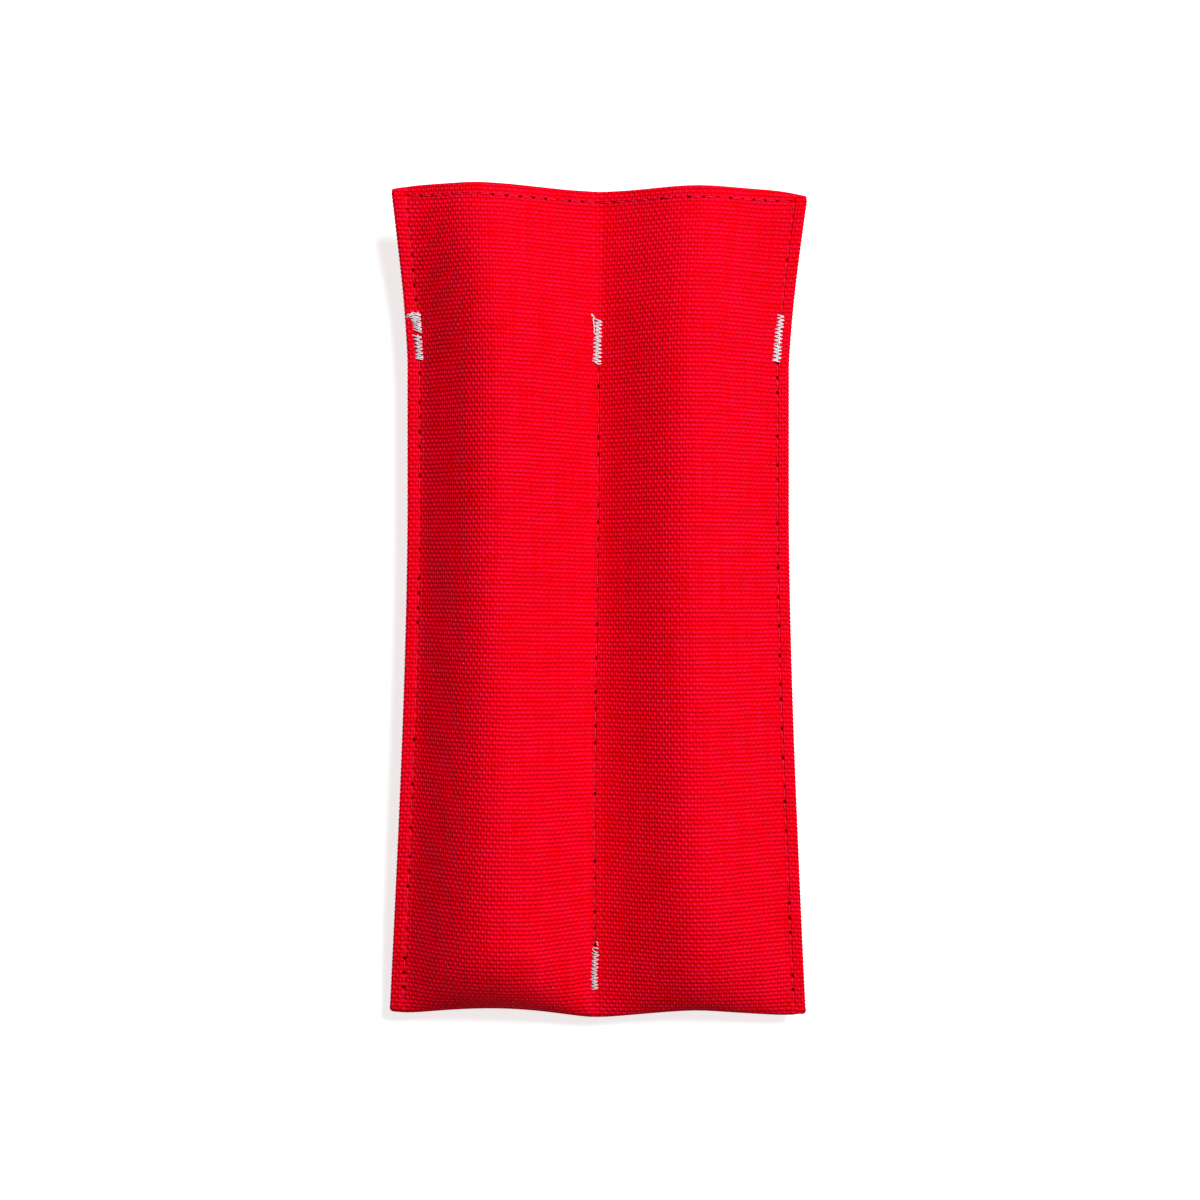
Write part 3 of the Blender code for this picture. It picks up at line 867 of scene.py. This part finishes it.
class PlainWeave:
    """A plain weave over the yarn map: heights of both yarns, and the masks of painted shade between them and
    painted highlights on their crowns that follow.
    """

    def __init__(self, graph, across, along, warp_pitch, weft_pitch):
        millimetres = graph.join(across * MILLIMETRES, along * MILLIMETRES)
        swapped = graph.join(along * MILLIMETRES, across * MILLIMETRES, YARN_DRIFT_SLICE)
        wander = graph.noise(millimetres, YARN_WANDER_SCALE, 1.0, "2D") - 0.5
        drift = graph.noise(swapped, YARN_DRIFT_SCALE, 1.0) - 0.5
        warp = across / warp_pitch + wander * YARN_WANDER
        weft = along / weft_pitch + drift * YARN_DRIFT
        warp_index = warp.floor()
        weft_index = weft.floor()
        over = ((warp_index + weft_index) * 0.5).fract() * 4 - 1
        column = ((warp.fract() - 0.5) * math.pi).cos().larger(LEAST_HUMP)
        row = ((weft.fract() - 0.5) * math.pi).cos().larger(LEAST_HUMP)
        weft_height = over * WEFT_CRIMP * column**COLUMN_POWER + WEFT_ROUND * row**ROW_POWER
        warp_height = over * -WARP_CRIMP * row + WARP_ROUND * column**COLUMN_POWER
        self.height = weft_height.larger(warp_height)
        self.crevice = 1 - self.height.between(0.0, CREVICE_HEIGHT)
        on_weft = (weft_height - warp_height).between(-CROSSING_EDGE, CROSSING_EDGE)
        self.crown = row.between(CREST_EDGE, 1.0) * (WARP_CREST + (1 - WARP_CREST) * on_weft * column)
        across_yarns = graph.join(weft_index * WEFT_TONE_STEP, across * WEFT_TONE_SCALE)
        along_yarns = graph.join(warp_index * WARP_TONE_STEP, along * WARP_TONE_SCALE, WARP_TONE_SLICE)
        self.yarn_tone = graph.noise(across_yarns, 1.0, 1.0) + graph.noise(along_yarns, 1.0, 1.0) - 1
        self.fibre = graph.noise(millimetres, WEAVE_FIBRE_SCALE, 2.0) - 0.5


def cloth_material(weave, marks):
    """The outer cloth: red yarns with painted pink highlights on their crowns and painted shade between them,
    with sewn grooves.
    """
    material, graph = new_material("red plain weave")
    across, along = yarn_coordinates(graph)
    yarns = PlainWeave(graph, across, along, weave.warp_pitch, weave.weft_pitch)
    groove, hole = stitch_marks(graph, across, along, marks)
    # Painted shade in the crevices between the yarns
    crevice = (yarns.crevice * CREVICE_SHADE + yarns.fibre * CREVICE_FIBRE).limited()
    # Painted pink highlights on the yarns' crowns
    crown = yarns.crown * (CROWN_HIGHLIGHT + yarns.yarn_tone * CROWN_TONE)
    crown = (crown + yarns.fibre * CROWN_FIBRE).limited()
    body = graph.mix(crown, tuple(weave.cloth_colour), tuple(weave.crown_highlight_colour))
    shade = graph.mix(crevice, body, tuple(weave.crevice_shade_colour))
    # The gaping needle holes are dented and painted dark as the shade inside them
    colour = graph.mix(hole, shade, HOLE_SHADE_COLOUR)
    height = yarns.height + yarns.fibre * FIBRE_HEIGHT - groove - hole * HOLE_DEPTH
    roughness = CLOTH_ROUGHNESS - crown * CROWN_POLISH
    finish_material(graph, colour, roughness, height, weave.relief, CLOTH_SPECULAR)
    return material


def stitch_marks(graph, across, along, marks):
    """Grooves along the rows of stitches and the needle holes in them, 0 to 1."""
    groove = None
    hole = None
    for line, place, first, last, pitch in marks:
        off, run = (across - place, along) if line == "along" else (along - place, across)
        half = (last - first) / 2
        inside = (run - (first + last) / 2).absolute().between(half + pitch * MARK_FADE, half)
        near = (1 - (off.absolute() / GROOVE_REACH).between(0.0, 1.0)) * inside
        counted = (run - first) / pitch + 0.5
        turn = counted.fract() - 0.5
        gap = graph.join(off / HOLE_WIDTH, turn * pitch / HOLE_LENGTH)
        reach = graph.node("ShaderNodeVectorMath", {"operation": "LENGTH"}, {0: gap}, 1)
        spot = graph.join(counted.floor() * HOLE_CHANCE_STEP, place * HOLE_CHANCE_SCALE)
        gaping = graph.noise(spot, 1.0, 0.0, "2D").between(*HOLE_CHANCE)
        pierced = (1 - reach.between(HOLE_EDGE, 1.0)) * inside * gaping
        groove = near if groove is None else groove.larger(near)
        hole = pierced if hole is None else hole.larger(pierced)
    return groove, hole


def lining_material(weave):
    """The lining: a thinner, finer and darker weave, with painted highlights on its crowns and painted shade
    between them.
    """
    material, graph = new_material("red lining weave")
    across, along = yarn_coordinates(graph)
    warp_pitch = weave.warp_pitch * LINING_WARP_SHARE
    weft_pitch = weave.weft_pitch * LINING_WEFT_SHARE
    yarns = PlainWeave(graph, across, along, warp_pitch, weft_pitch)
    # Lighter on the crowns as a painted highlight, darker between them as painted shade, with yarns that
    # differ at random
    tone = LINING_TONE + yarns.crown * LINING_CROWN_HIGHLIGHT + yarns.yarn_tone * LINING_YARN_TONE
    tone = (tone + yarns.fibre * LINING_FIBRE).limited()
    colour = graph.mix(tone, darker(weave.lining_colour), tuple(weave.lining_colour))
    roughness = LINING_ROUGHNESS - yarns.crown * LINING_POLISH
    relief = weave.relief * LINING_RELIEF_SHARE
    finish_material(graph, colour, roughness, yarns.height, relief, LINING_SPECULAR)
    return material


def thread_material(name, colour, roughness, specular):
    """Twisted thread: plies that wind round it, with painted shade between them."""
    material, graph = new_material(name)
    lay = graph.node("ShaderNodeAttribute", {"attribute_name": "lay"}, None, 2)
    turn = graph.node("ShaderNodeAttribute", {"attribute_name": "turn"}, None, 2)
    ply = ((lay * TWISTS_PER_METRE + turn) * PLIES * math.pi * 2).cos() * 0.5 + 0.5
    where = graph.node("ShaderNodeTexCoord", None, None, 3)
    fibre = graph.noise(where, THREAD_FIBRE_SCALE, 2.0) - 0.5
    # Pale along the plies, painted shade between them
    tone = (PLY_DARK + ply * PLY_PALE + fibre * PLY_FIBRE).limited()
    shade = graph.mix(tone, darker(colour), tuple(colour))
    finish_material(graph, shade, roughness, ply + fibre * PLY_FIBRE, THREAD_BUMP, specular)
    return material


def new_geometry_tree(name, source, result, sizes):
    """A geometry tree's graph, the identifiers of its named inputs, and what they give."""
    tree = bpy.data.node_groups.new(name, "GeometryNodeTree")
    identifiers = {}
    for label, kind in {source: "Geometry", **sizes}.items():
        socket = tree.interface.new_socket(label, in_out="INPUT", socket_type=f"NodeSocket{kind}")
        identifiers[label] = socket.identifier
    tree.interface.new_socket(result, in_out="OUTPUT", socket_type="NodeSocketGeometry")
    graph = Graph(tree)
    given = tree.nodes.new("NodeGroupInput")
    return graph, identifiers, [Signal(graph, socket) for socket in given.outputs[:len(identifiers)]]


def finish_geometry(graph, geometry, thread, result):
    """Ends a geometry tree in real faces of thread."""
    real = graph.node("GeometryNodeRealizeInstances", None, {"Geometry": geometry})
    sewn = graph.node("GeometryNodeSetMaterial", None, {"Geometry": real, "Material": thread})
    graph.node("NodeGroupOutput", None, {result: sewn})


def thread_tube(graph, curve, radius, sides):
    """A tube round a curve, with the way along it and round it kept for the thread's plies."""
    length = graph.node("GeometryNodeSplineParameter", None, None, 1)
    settings = {"data_type": "FLOAT", "domain": "POINT"}
    sockets = {"Geometry": curve, "Name": "lay", "Value": length}
    curve = graph.node("GeometryNodeStoreNamedAttribute", settings, sockets)
    ring = graph.node("GeometryNodeCurvePrimitiveCircle", None, {"Resolution": sides, "Radius": radius})
    factor = graph.node("GeometryNodeSplineParameter")
    sockets = {"Geometry": ring, "Name": "turn", "Value": factor}
    ring = graph.node("GeometryNodeStoreNamedAttribute", settings, sockets)
    sockets = {"Curve": curve, "Profile Curve": ring, "Fill Caps": True}
    return graph.node("GeometryNodeCurveToMesh", None, sockets)


def stitch_tree():
    """Geometry nodes that lay one arched stitch on every point of a seam."""
    sizes = {
        "Stitch Length": "Float",
        "Thread Radius": "Float",
        "Rise": "Float",
        "Dip": "Float",
        "Seed": "Int",
        "Thread": "Material",
    }
    graph, identifiers, given = new_geometry_tree("row of stitches", "Seam", "Stitches", sizes)
    seam, length, radius, rise, dip, seed, thread = given
    start = graph.join(length * -0.5, 0.0, dip * -1)
    end = graph.join(length * 0.5, 0.0, dip * -1)
    middle = graph.join(0.0, 0.0, rise * 2 + dip)
    sockets = {"Resolution": ARCH_STEPS, "Start": start, "Middle": middle, "End": end}
    arch = graph.node("GeometryNodeCurveQuadraticBezier", None, sockets)
    stitch = thread_tube(graph, arch, radius, THREAD_SIDES)
    facing = (0.0, 0.0, 0.0)
    for name, axis, pivot in (("run", "X", "AUTO"), ("out", "Z", "X")):
        way = graph.node("GeometryNodeInputNamedAttribute", {"data_type": "FLOAT_VECTOR"}, {"Name": name})
        settings = {"axis": axis, "pivot_axis": pivot}
        sockets = {"Vector": way, "Rotation": facing}
        facing = graph.node("FunctionNodeAlignRotationToVector", settings, sockets)
    sockets = {"Min": STITCH_LEAST, "Max": STITCH_MOST, "Seed": seed}
    size = graph.node("FunctionNodeRandomValue", {"data_type": "FLOAT_VECTOR"}, sockets)
    sockets = {"Points": seam, "Instance": stitch, "Rotation": facing, "Scale": size}
    row = graph.node("GeometryNodeInstanceOnPoints", None, sockets)
    finish_geometry(graph, row, thread, "Stitches")
    return graph.tree, identifiers


def strand_tree():
    """Geometry nodes that give every drawn strand its thread."""
    sizes = {"Thread Radius": "Float", "Sides": "Int", "Thread": "Material"}
    graph, identifiers, given = new_geometry_tree("thread round strands", "Strands", "Sewn", sizes)
    strands, radius, sides, thread = given
    finish_geometry(graph, thread_tube(graph, strands, radius, sides), thread, "Sewn")
    return graph.tree, identifiers


def grown_mesh(name, data, tree, identifiers, values):
    """The plain mesh that a geometry tree makes of data, with values by the inputs' names."""
    carrier = add_object(f"{name} source", data)
    modifier = carrier.modifiers.new("grow", "NODES")
    modifier.node_group = tree
    for label, value in values.items():
        modifier[identifiers[label]] = value
    bpy.context.view_layer.update()
    grown = carrier.evaluated_get(bpy.context.evaluated_depsgraph_get())
    mesh = bpy.data.meshes.new_from_object(grown)
    mesh.name = name
    bpy.data.objects.remove(carrier, do_unlink=True)
    mesh.shade_smooth()
    return mesh


def seam_points(name, points, runs, outs):
    """Stitch places as a mesh of points that carry their directions."""
    mesh = bpy.data.meshes.new(name)
    mesh.vertices.add(len(points))
    mesh.vertices.foreach_set("co", np.asarray(points, np.float32).ravel())
    for label, ways in (("run", runs), ("out", outs)):
        attribute = mesh.attributes.new(label, "FLOAT_VECTOR", "POINT")
        attribute.data.foreach_set("vector", np.asarray(ways, np.float32).ravel())
    return mesh


def stitch_places(layer, us, ss, side):
    """Centres, runs and ways out of stitches whose holes are at us and ss of a layer."""
    holes, ways = layer.seat(us, ss, side)
    runs = np.diff(holes, axis=0)
    outs = ways[1:] + ways[:-1]
    length = np.linalg.norm(runs, axis=1, keepdims=True)
    outs /= np.linalg.norm(outs, axis=1, keepdims=True)
    return (holes[1:] + holes[:-1]) / 2, runs / length, outs


class Seam(NamedTuple):
    """A lengthwise seam: its column, its highest and lowest hole above the fold, and its pitch."""

    u: float
    high: float
    low: float
    pitch: float


class SeamPlan:
    """Where each row of stitches lies, by distances along the cloth's yarns."""

    def __init__(self, form, cloth, sewing):
        self.form = form
        self.cloth = cloth
        self.sewing = sewing
        self.total_along = float(cloth.along_map[0, -1])
        self.mouth_bartack = form.shape.pocket_depth - MOUTH_BARTACK_INSET
        self.fold_bartack = FOLD_BARTACK_HEIGHT + sewing.bartack_length
        centre_high = self.mouth_bartack - sewing.bartack_length - SEAM_TO_BARTACK
        centre_low = self.fold_bartack + SEAM_TO_BARTACK
        side_high = form.shape.length - SIDE_SEAM_INSET
        self.down = {
            "left_side": Seam(-SIDE_SEAM, side_high, SIDE_SEAM_INSET, sewing.side_stitch),
            "right_side": Seam(SIDE_SEAM, side_high, SIDE_SEAM_INSET, sewing.side_stitch),
            "centre": Seam(0.0, centre_high, centre_low, sewing.centre_stitch),
        }

    def column(self, u):
        return self.cloth.along_map[int(np.argmin(np.abs(self.cloth.us - u)))]

    def s_at(self, u, along):
        """s at a distance along the lengthwise yarn that runs down u."""
        return np.interp(along, self.column(u), self.cloth.ss)

    def along_at(self, u, s):
        return float(np.interp(s, self.cloth.ss, self.column(u)))

    def u_at(self, across):
        return np.interp(across, self.cloth.across_map[:, 0], self.cloth.us)

    def across_at(self, u):
        return float(np.interp(u, self.cloth.us, self.cloth.across_map[:, 0]))

    def down_holes(self, seam):
        """Distances along the yarn of the holes of a lengthwise seam."""
        setback = self.cloth.setback
        ends = [self.form.s_of_height(seam.u, y, False, setback) for y in (seam.high, seam.low)]
        first, last = sorted(self.along_at(seam.u, s) for s in ends)
        count = max(int(round((last - first) / seam.pitch)), 2)
        return np.linspace(first, last, count + 1)

    def cross_holes(self):
        first = self.across_at(-SIDE_SEAM) + CROSS_SEAM_INSET
        last = self.across_at(SIDE_SEAM) - CROSS_SEAM_INSET
        count = int(round((last - first) / self.sewing.top_stitch))
        return np.linspace(first, last, count + 1)

    def cross_rows(self):
        """Distances of the rows along the top edge and along the mouth."""
        inset = self.sewing.edge_inset
        return {"top_edge": inset, "mouth_edge": self.total_along - inset}

    def marks(self):
        """Rows of holes for the cloth's material: direction, place, first and last hole, pitch."""
        rows = [("along", self.across_at(seam.u), self.down_holes(seam)) for seam in self.down.values()]
        rows += [("across", along, self.cross_holes()) for along in self.cross_rows().values()]
        return [(line, place, holes[0], holes[-1], holes[1] - holes[0]) for line, place, holes in rows]


class Workshop:
    """What the pieces share: the form, both cloths and the plan of the seams."""

    def __init__(self, scene):
        form = CaseForm(scene.pen_case_shape)
        row = scene.pen_case_weave.weft_pitch / 2
        setback = form.shape.lining_setback
        self.form = form
        self.cloth = ClothSheet(form, form.cloth_in, form.cloth_out, HEM_INNER, 0.0, row, YARN_BUMP)
        self.lining = ClothSheet(form, 0.0, form.lining_out, 0.0, setback, LINING_ROW_STEP, 0.0)
        self.plan = SeamPlan(form, self.cloth, scene.pen_case_sewing)


_workshop = {}


def workshop(context):
    """The shared form, worked out once for each run."""
    if "open" not in _workshop:
        _workshop["open"] = Workshop(context.scene)
    return _workshop["open"]


class PENCASE_OT_outer_cloth(bpy.types.Operator):
    """Make the outer cloth: one woven strip, folded, with turned hems"""

    bl_idname = "pen_case.outer_cloth"
    bl_label = "Outer Cloth"

    def execute(self, context):
        work = workshop(context)
        material = cloth_material(context.scene.pen_case_weave, work.plan.marks())
        add_cloth("woven_outer_cloth", work.cloth, material, "outer_cloth")
        return {"FINISHED"}


class PENCASE_OT_lining(bpy.types.Operator):
    """Make the lining that shows inside the mouth and behind the top edge"""

    bl_idname = "pen_case.lining"
    bl_label = "Lining"

    def execute(self, context):
        material = lining_material(context.scene.pen_case_weave)
        add_cloth("woven_lining", workshop(context).lining, material, "lining_cloth")
        return {"FINISHED"}


class PENCASE_OT_stitches(bpy.types.Operator):
    """Sew the rows of stitches along the edges, the sides and the middle"""

    bl_idname = "pen_case.stitches"
    bl_label = "Stitches"

    def execute(self, context):
        sewing = context.scene.pen_case_sewing
        thread = thread_material("red sewing thread", sewing.thread_colour, *SEWING_THREAD_FINISH)
        tree, identifiers = stitch_tree()
        for seed, (name, parts, pitch) in enumerate(seam_rows(workshop(context), sewing)):
            source = seam_points(name, *(np.concatenate(group) for group in zip(*parts)))
            values = {
                "Stitch Length": pitch * STITCH_SHARE,
                "Thread Radius": sewing.thread_radius,
                "Rise": STITCH_RISE,
                "Dip": STITCH_DIP,
                "Seed": seed,
                "Thread": thread,
            }
            mesh = grown_mesh(f"{name}_stitches", source, tree, identifiers, values)
            add_piece(f"{name}_stitches", mesh, f"{name}_thread")
        return {"FINISHED"}


def seam_rows(work, sewing):
    """Every row of stitches: its name, the places of its stitches in groups, and its pitch."""
    plan = work.plan
    rows = []
    for edge, along in plan.cross_rows().items():
        us = plan.u_at(plan.cross_holes())
        ss = np.array([float(plan.s_at(u, along)) for u in us])
        y, _ = work.form.strip_height(us, ss, work.cloth.setback)
        needle = stitch_places(work.cloth, us, ss, 1)
        bobbin = stitch_places(work.lining, us, at_heights(work.lining, us, y, ss[0] > FOLD_ROW), -1)
        rows.append((f"{edge}_needle", [needle], sewing.top_stitch))
        rows.append((f"{edge}_bobbin", [bobbin], sewing.top_stitch))
    for name, seam in plan.down.items():
        holes = plan.down_holes(seam)
        ss = plan.s_at(seam.u, holes)
        us = np.full(len(holes), seam.u)
        rows.append((f"{name}_needle", [stitch_places(work.cloth, us, ss, 1)], seam.pitch))
        rows.append((f"{name}_bobbin", list(bobbin_groups(work, us, ss)), seam.pitch))
    return rows


def at_heights(layer, us, heights, pocket_side):
    """s of places on a layer that are at given heights above the fold."""
    return np.array([layer.form.s_of_height(u, y, pocket_side, layer.setback) for u, y in zip(us, heights)])


def bobbin_groups(work, us, ss):
    """The bobbin side of a lengthwise seam: the lining above the mouth, the pocket below."""
    depth = work.form.shape.pocket_depth
    y, _ = work.form.strip_height(us, ss, work.cloth.setback)
    above = y > depth + SEAM_TO_BARTACK
    below = y < depth - SEAM_TO_BARTACK
    for part, layer, pocket_side, side in ((above, work.lining, False, -1), (below, work.cloth, True, 1)):
        if part.sum() > 1:
            yield stitch_places(layer, us[part], at_heights(layer, us[part], y[part], pocket_side), side)


class PENCASE_OT_bartacks(bpy.types.Operator):
    """Sew the white bartacks at the mouth and above the fold"""

    bl_idname = "pen_case.bartacks"
    bl_label = "Bartacks"

    def execute(self, context):
        sewing = context.scene.pen_case_sewing
        tree, identifiers = strand_tree()
        for spot, bartack in BARTACKS.items():
            # Each bartack gets its own copy of the white thread, darkened or lightened as painted light for
            # its spot
            colour = [part * bartack.shade for part in sewing.bartack_colour[:3]] + [1.0]
            thread = thread_material(f"white bartack thread {spot}", colour, *BARTACK_THREAD_FINISH)
            values = {
                "Thread Radius": sewing.bartack_thread_radius,
                "Sides": THREAD_SIDES,
                "Thread": thread,
            }
            for side in ("needle", "bobbin"):
                name = f"{spot}_bartack_{side}"
                drawn = draw_bartack(workshop(context), sewing, f"{spot}_{side}", bartack, side == "bobbin")
                mesh = grown_mesh(f"{name}_zigzag", drawn, tree, identifiers, values)
                add_piece(f"{name}_zigzag", mesh, f"{name}_side")
        return {"FINISHED"}


class BartackDrawing:
    """Draws the strands of one side of a bartack on the cloth, as curves for the strand tree."""

    def __init__(self, work, sewing, name, bartack, pocket_side):
        self.chance = random.Random(name)
        self.work = work
        self.u = bartack.seam
        self.stray, raised = bartack.stray
        self.top = (work.plan.mouth_bartack if bartack.at_mouth else work.plan.fold_bartack) + raised
        self.pocket_side = pocket_side
        self.length = sewing.bartack_length
        self.half = sewing.bartack_width / 2
        self.radius = sewing.bartack_thread_radius
        self.teeth = sewing.bartack_teeth
        self.curve = bpy.data.curves.new(name, "CURVE")
        self.curve.dimensions = "3D"

    def point(self, down, aside, lift):
        """A point at a share of the bar's length, a share of its half width, and above the cloth."""
        cloth = self.work.cloth
        high = self.top - self.length * down
        if self.pocket_side:
            high = min(high, self.work.form.shape.pocket_depth - cloth.setback)
        s = self.work.form.s_of_height(self.u, high, self.pocket_side, cloth.setback)
        base, way = cloth.seat(np.array([float(self.u)]), np.array([s]))
        return base[0] + way[0] * (BARTACK_SEAT + lift) + np.array([self.stray + self.half * aside, 0.0, 0.0])

    def arch(self, part, low, rise):
        """Height of a strand at a share of its way over the bar."""
        return self.radius * (low + rise * math.sin(math.pi * part) ** ARCH_POWER)

    def draw(self, places, thickness=1.0):
        """One strand through places, each a share down, a share aside and a lift."""
        spline = self.curve.splines.new("POLY")
        spline.points.add(len(places) - 1)
        for target, place in zip(spline.points, places):
            target.co = (*self.point(*place), 1.0)
            target.radius = thickness

    def core(self, reach, start=0.03):
        """Two strands that lie lengthwise under the zigzag and cross over each other."""
        for phase in (0.0, math.pi):
            stops = np.linspace(start, CORE_END, CORE_POINTS)
            waves = [math.cos(stop * math.pi * CORE_CROSSINGS + phase) for stop in stops]
            lifts = [self.radius * (1 + CORE_RISE * math.sin(stop * CORE_WAVES + phase)) for stop in stops]
            self.draw([(stop, reach * wave, lift) for stop, wave, lift in zip(stops, waves, lifts)])

    def zigzag(self, start, end, left, right, jitter, lean=0.3, drift=(0.0, 0.0), bow=0.0):
        """Swings from side to side, whose ends dip into the cloth as sharp teeth.

        lean pushes the right teeth down by a share of a swing, drift moves the bar's middle
        sideways from its start to its end, and bow bends the strands.
        """
        swings = round(2 * self.teeth * (end - start))
        step = (end - start) / swings
        tips = []
        for swing in range(swings + 1):
            reach = 1 + self.chance.uniform(-jitter, jitter)
            middle = drift[0] + (drift[1] - drift[0]) * swing / swings
            lean_here = lean + self.chance.uniform(-0.5, 0.5) * jitter * LEAN_SCATTER
            down = start + step * (swing + (lean_here if swing % 2 else 0.0))
            tips.append((down, middle + (right * reach if swing % 2 else -left * reach)))
        places = []
        for (down, aside), (next_down, next_aside) in zip(tips, tips[1:]):
            sag = self.chance.uniform(*BOW_SCATTER) * bow * step
            for part in np.linspace(0, 1, ZIGZAG_POINTS)[:-1]:
                here = down + (next_down - down) * part + sag * math.sin(math.pi * part)
                lift = self.arch(part, ZIGZAG_DIP, ZIGZAG_RISE)
                places.append((here, aside + (next_aside - aside) * part, lift))
        self.draw(places)

    def tangle(self, start, end, reach, count, thin=0.6):
        """Short loose loops, where the machine locked the thread."""
        for _ in range(count):
            down = self.chance.uniform(start, end)
            aside = self.chance.uniform(-reach, reach * LOOP_RIGHT_SHARE)
            turn = self.chance.uniform(-LOOP_TURN, LOOP_TURN)
            size = self.chance.uniform(*LOOP_SIZE)
            lift = self.chance.uniform(*LOOP_LIFT) * self.radius
            places = []
            for part in np.linspace(-1, 1, LOOP_POINTS):
                bend = size * LOOP_BEND * (1 - part * part)
                x = part * size * math.cos(turn) - bend * math.sin(turn)
                y = part * size * math.sin(turn) + bend * math.cos(turn)
                fall = 1 - LOOP_FALL * part * part
                places.append((down + y * self.half / self.length, aside + x, lift * fall))
            self.draw(places, self.chance.uniform(thin, thin * LOOP_THICKER))

    def strokes(self, start, end, count, left, right, slant, jitter, thin=0.8):
        """Loose strands that cross the bar side by side."""
        for down in np.linspace(start, end, count):
            fall = slant + self.chance.uniform(-jitter, jitter)
            first = -left + self.chance.uniform(-STROKE_LEFT_SCATTER, STROKE_LEFT_SCATTER)
            last = right + self.chance.uniform(-STROKE_RIGHT_SCATTER, STROKE_RIGHT_SCATTER)
            places = []
            for part in np.linspace(0, 1, ZIGZAG_POINTS):
                lift = self.arch(part, STROKE_SEAT, STROKE_RISE)
                places.append((down + fall * part, first + (last - first) * part, lift))
            self.draw(places, self.chance.uniform(thin, thin * STROKE_THICKER))


def draw_bartack(work, sewing, name, bartack, pocket_side):
    """One side of a bartack, with the irregularities of its place."""
    drawing = BartackDrawing(work, sewing, name, bartack, pocket_side)
    for kind, *values in POCKET_SIDE_STRANDS if pocket_side else bartack.strands:
        getattr(drawing, kind)(*values)
    return drawing.curve


class PENCASE_OT_stage(bpy.types.Operator):
    """Set the floor, the lights and the camera"""

    bl_idname = "pen_case.stage"
    bl_label = "Studio"

    def execute(self, context):
        studio = context.scene.pen_case_studio
        add_floor(studio)
        add_lights(context.scene, studio)
        add_camera(context.scene, studio)
        context.scene.view_settings.view_transform = "Standard"
        return {"FINISHED"}


def add_floor(studio):
    """A pale floor that keeps the case's shadow and looks white to the camera and in gloss."""
    material, graph = new_material("white floor")
    plain = graph.node("ShaderNodeBsdfDiffuse", None, {"Color": FLOOR_COLOUR})
    seen, glossy, through = (graph.node("ShaderNodeLightPath", None, None, output) for output in (0, 3, 6))
    shown = seen.larger(glossy).larger(through)
    glow = graph.node("ShaderNodeEmission", None, {"Color": WHITE, "Strength": FLOOR_GLOW})
    none = graph.node("ShaderNodeEmission", None, {"Color": BLACK, "Strength": 0.0})
    lit = graph.node("ShaderNodeMixShader", None, {0: shown, 1: none, 2: glow})
    both = graph.node("ShaderNodeAddShader", None, {0: plain, 1: lit})
    graph.node("ShaderNodeOutputMaterial", None, {"Surface": both})
    half = studio.floor_size / 2
    mesh = bpy.data.meshes.new("floor")
    corners = [(x * half, y * half, -FLOOR_GAP) for x, y in ((-1, -1), (1, -1), (1, 1), (-1, 1))]
    mesh.from_pydata(corners, [], [(0, 1, 2, 3)])
    mesh.materials.append(material)
    add_object("floor", mesh)


def add_lights(scene, studio):
    """A soft key light from the upper right, and an even white sky."""
    light = bpy.data.lights.new("key", "AREA")
    light.shape = "DISK"
    light.size = KEY_SIZE
    light.energy = studio.key_power
    way = Vector(KEY_WAY).normalized()
    key = add_object("key", light)
    key.location = way * KEY_DISTANCE
    key.rotation_euler = way.to_track_quat("Z", "Y").to_euler()
    world = bpy.data.worlds.new("white studio")
    world.use_nodes = True
    sky = world.node_tree.nodes["Background"]
    sky.inputs["Color"].default_value = WHITE
    sky.inputs["Strength"].default_value = studio.fill_strength
    scene.world = world


def add_camera(scene, studio):
    """A camera that looks straight down at the back panel."""
    data = bpy.data.cameras.new("camera")
    data.lens = studio.lens
    data.sensor_width = SENSOR_WIDTH
    data.clip_start = CAMERA_CLIP_START
    camera = add_object("camera", data)
    camera.location = (CAMERA_X, CAMERA_Y, studio.camera_height)
    scene.camera = camera


class PENCASE_PT_panel(bpy.types.Panel):
    """Sizes, colours and steps of the pen case"""

    bl_label = "Pen Case"
    bl_idname = "PENCASE_PT_panel"
    bl_space_type = "VIEW_3D"
    bl_region_type = "UI"
    bl_category = "Pen Case"

    def draw(self, context):
        for label, (name, group) in SETTINGS.items():
            box = self.layout.box()
            box.label(text=label)
            for setting in group.__annotations__:
                box.prop(getattr(context.scene, name), setting)
        for operator in OPERATORS:
            self.layout.operator(operator.bl_idname)


SETTINGS = {
    "Shape": ("pen_case_shape", CaseShape),
    "Weave": ("pen_case_weave", CaseWeave),
    "Sewing": ("pen_case_sewing", CaseSewing),
    "Studio": ("pen_case_studio", CaseStudio),
}
OPERATORS = (
    PENCASE_OT_outer_cloth,
    PENCASE_OT_lining,
    PENCASE_OT_stitches,
    PENCASE_OT_bartacks,
    PENCASE_OT_stage,
)


def register():
    for name, group in SETTINGS.values():
        bpy.utils.register_class(group)
        setattr(bpy.types.Scene, name, PointerProperty(type=group))
    for kind in (*OPERATORS, PENCASE_PT_panel):
        bpy.utils.register_class(kind)


def unregister():
    for kind in (PENCASE_PT_panel, *reversed(OPERATORS)):
        bpy.utils.unregister_class(kind)
    for name, group in reversed(list(SETTINGS.values())):
        delattr(bpy.types.Scene, name)
        bpy.utils.unregister_class(group)


def main():
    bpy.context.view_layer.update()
    register()
    bpy.ops.pen_case.outer_cloth()
    bpy.ops.pen_case.lining()
    bpy.ops.pen_case.stitches()
    bpy.ops.pen_case.bartacks()
    bpy.ops.pen_case.stage()


if __name__ == "__main__":
    main()
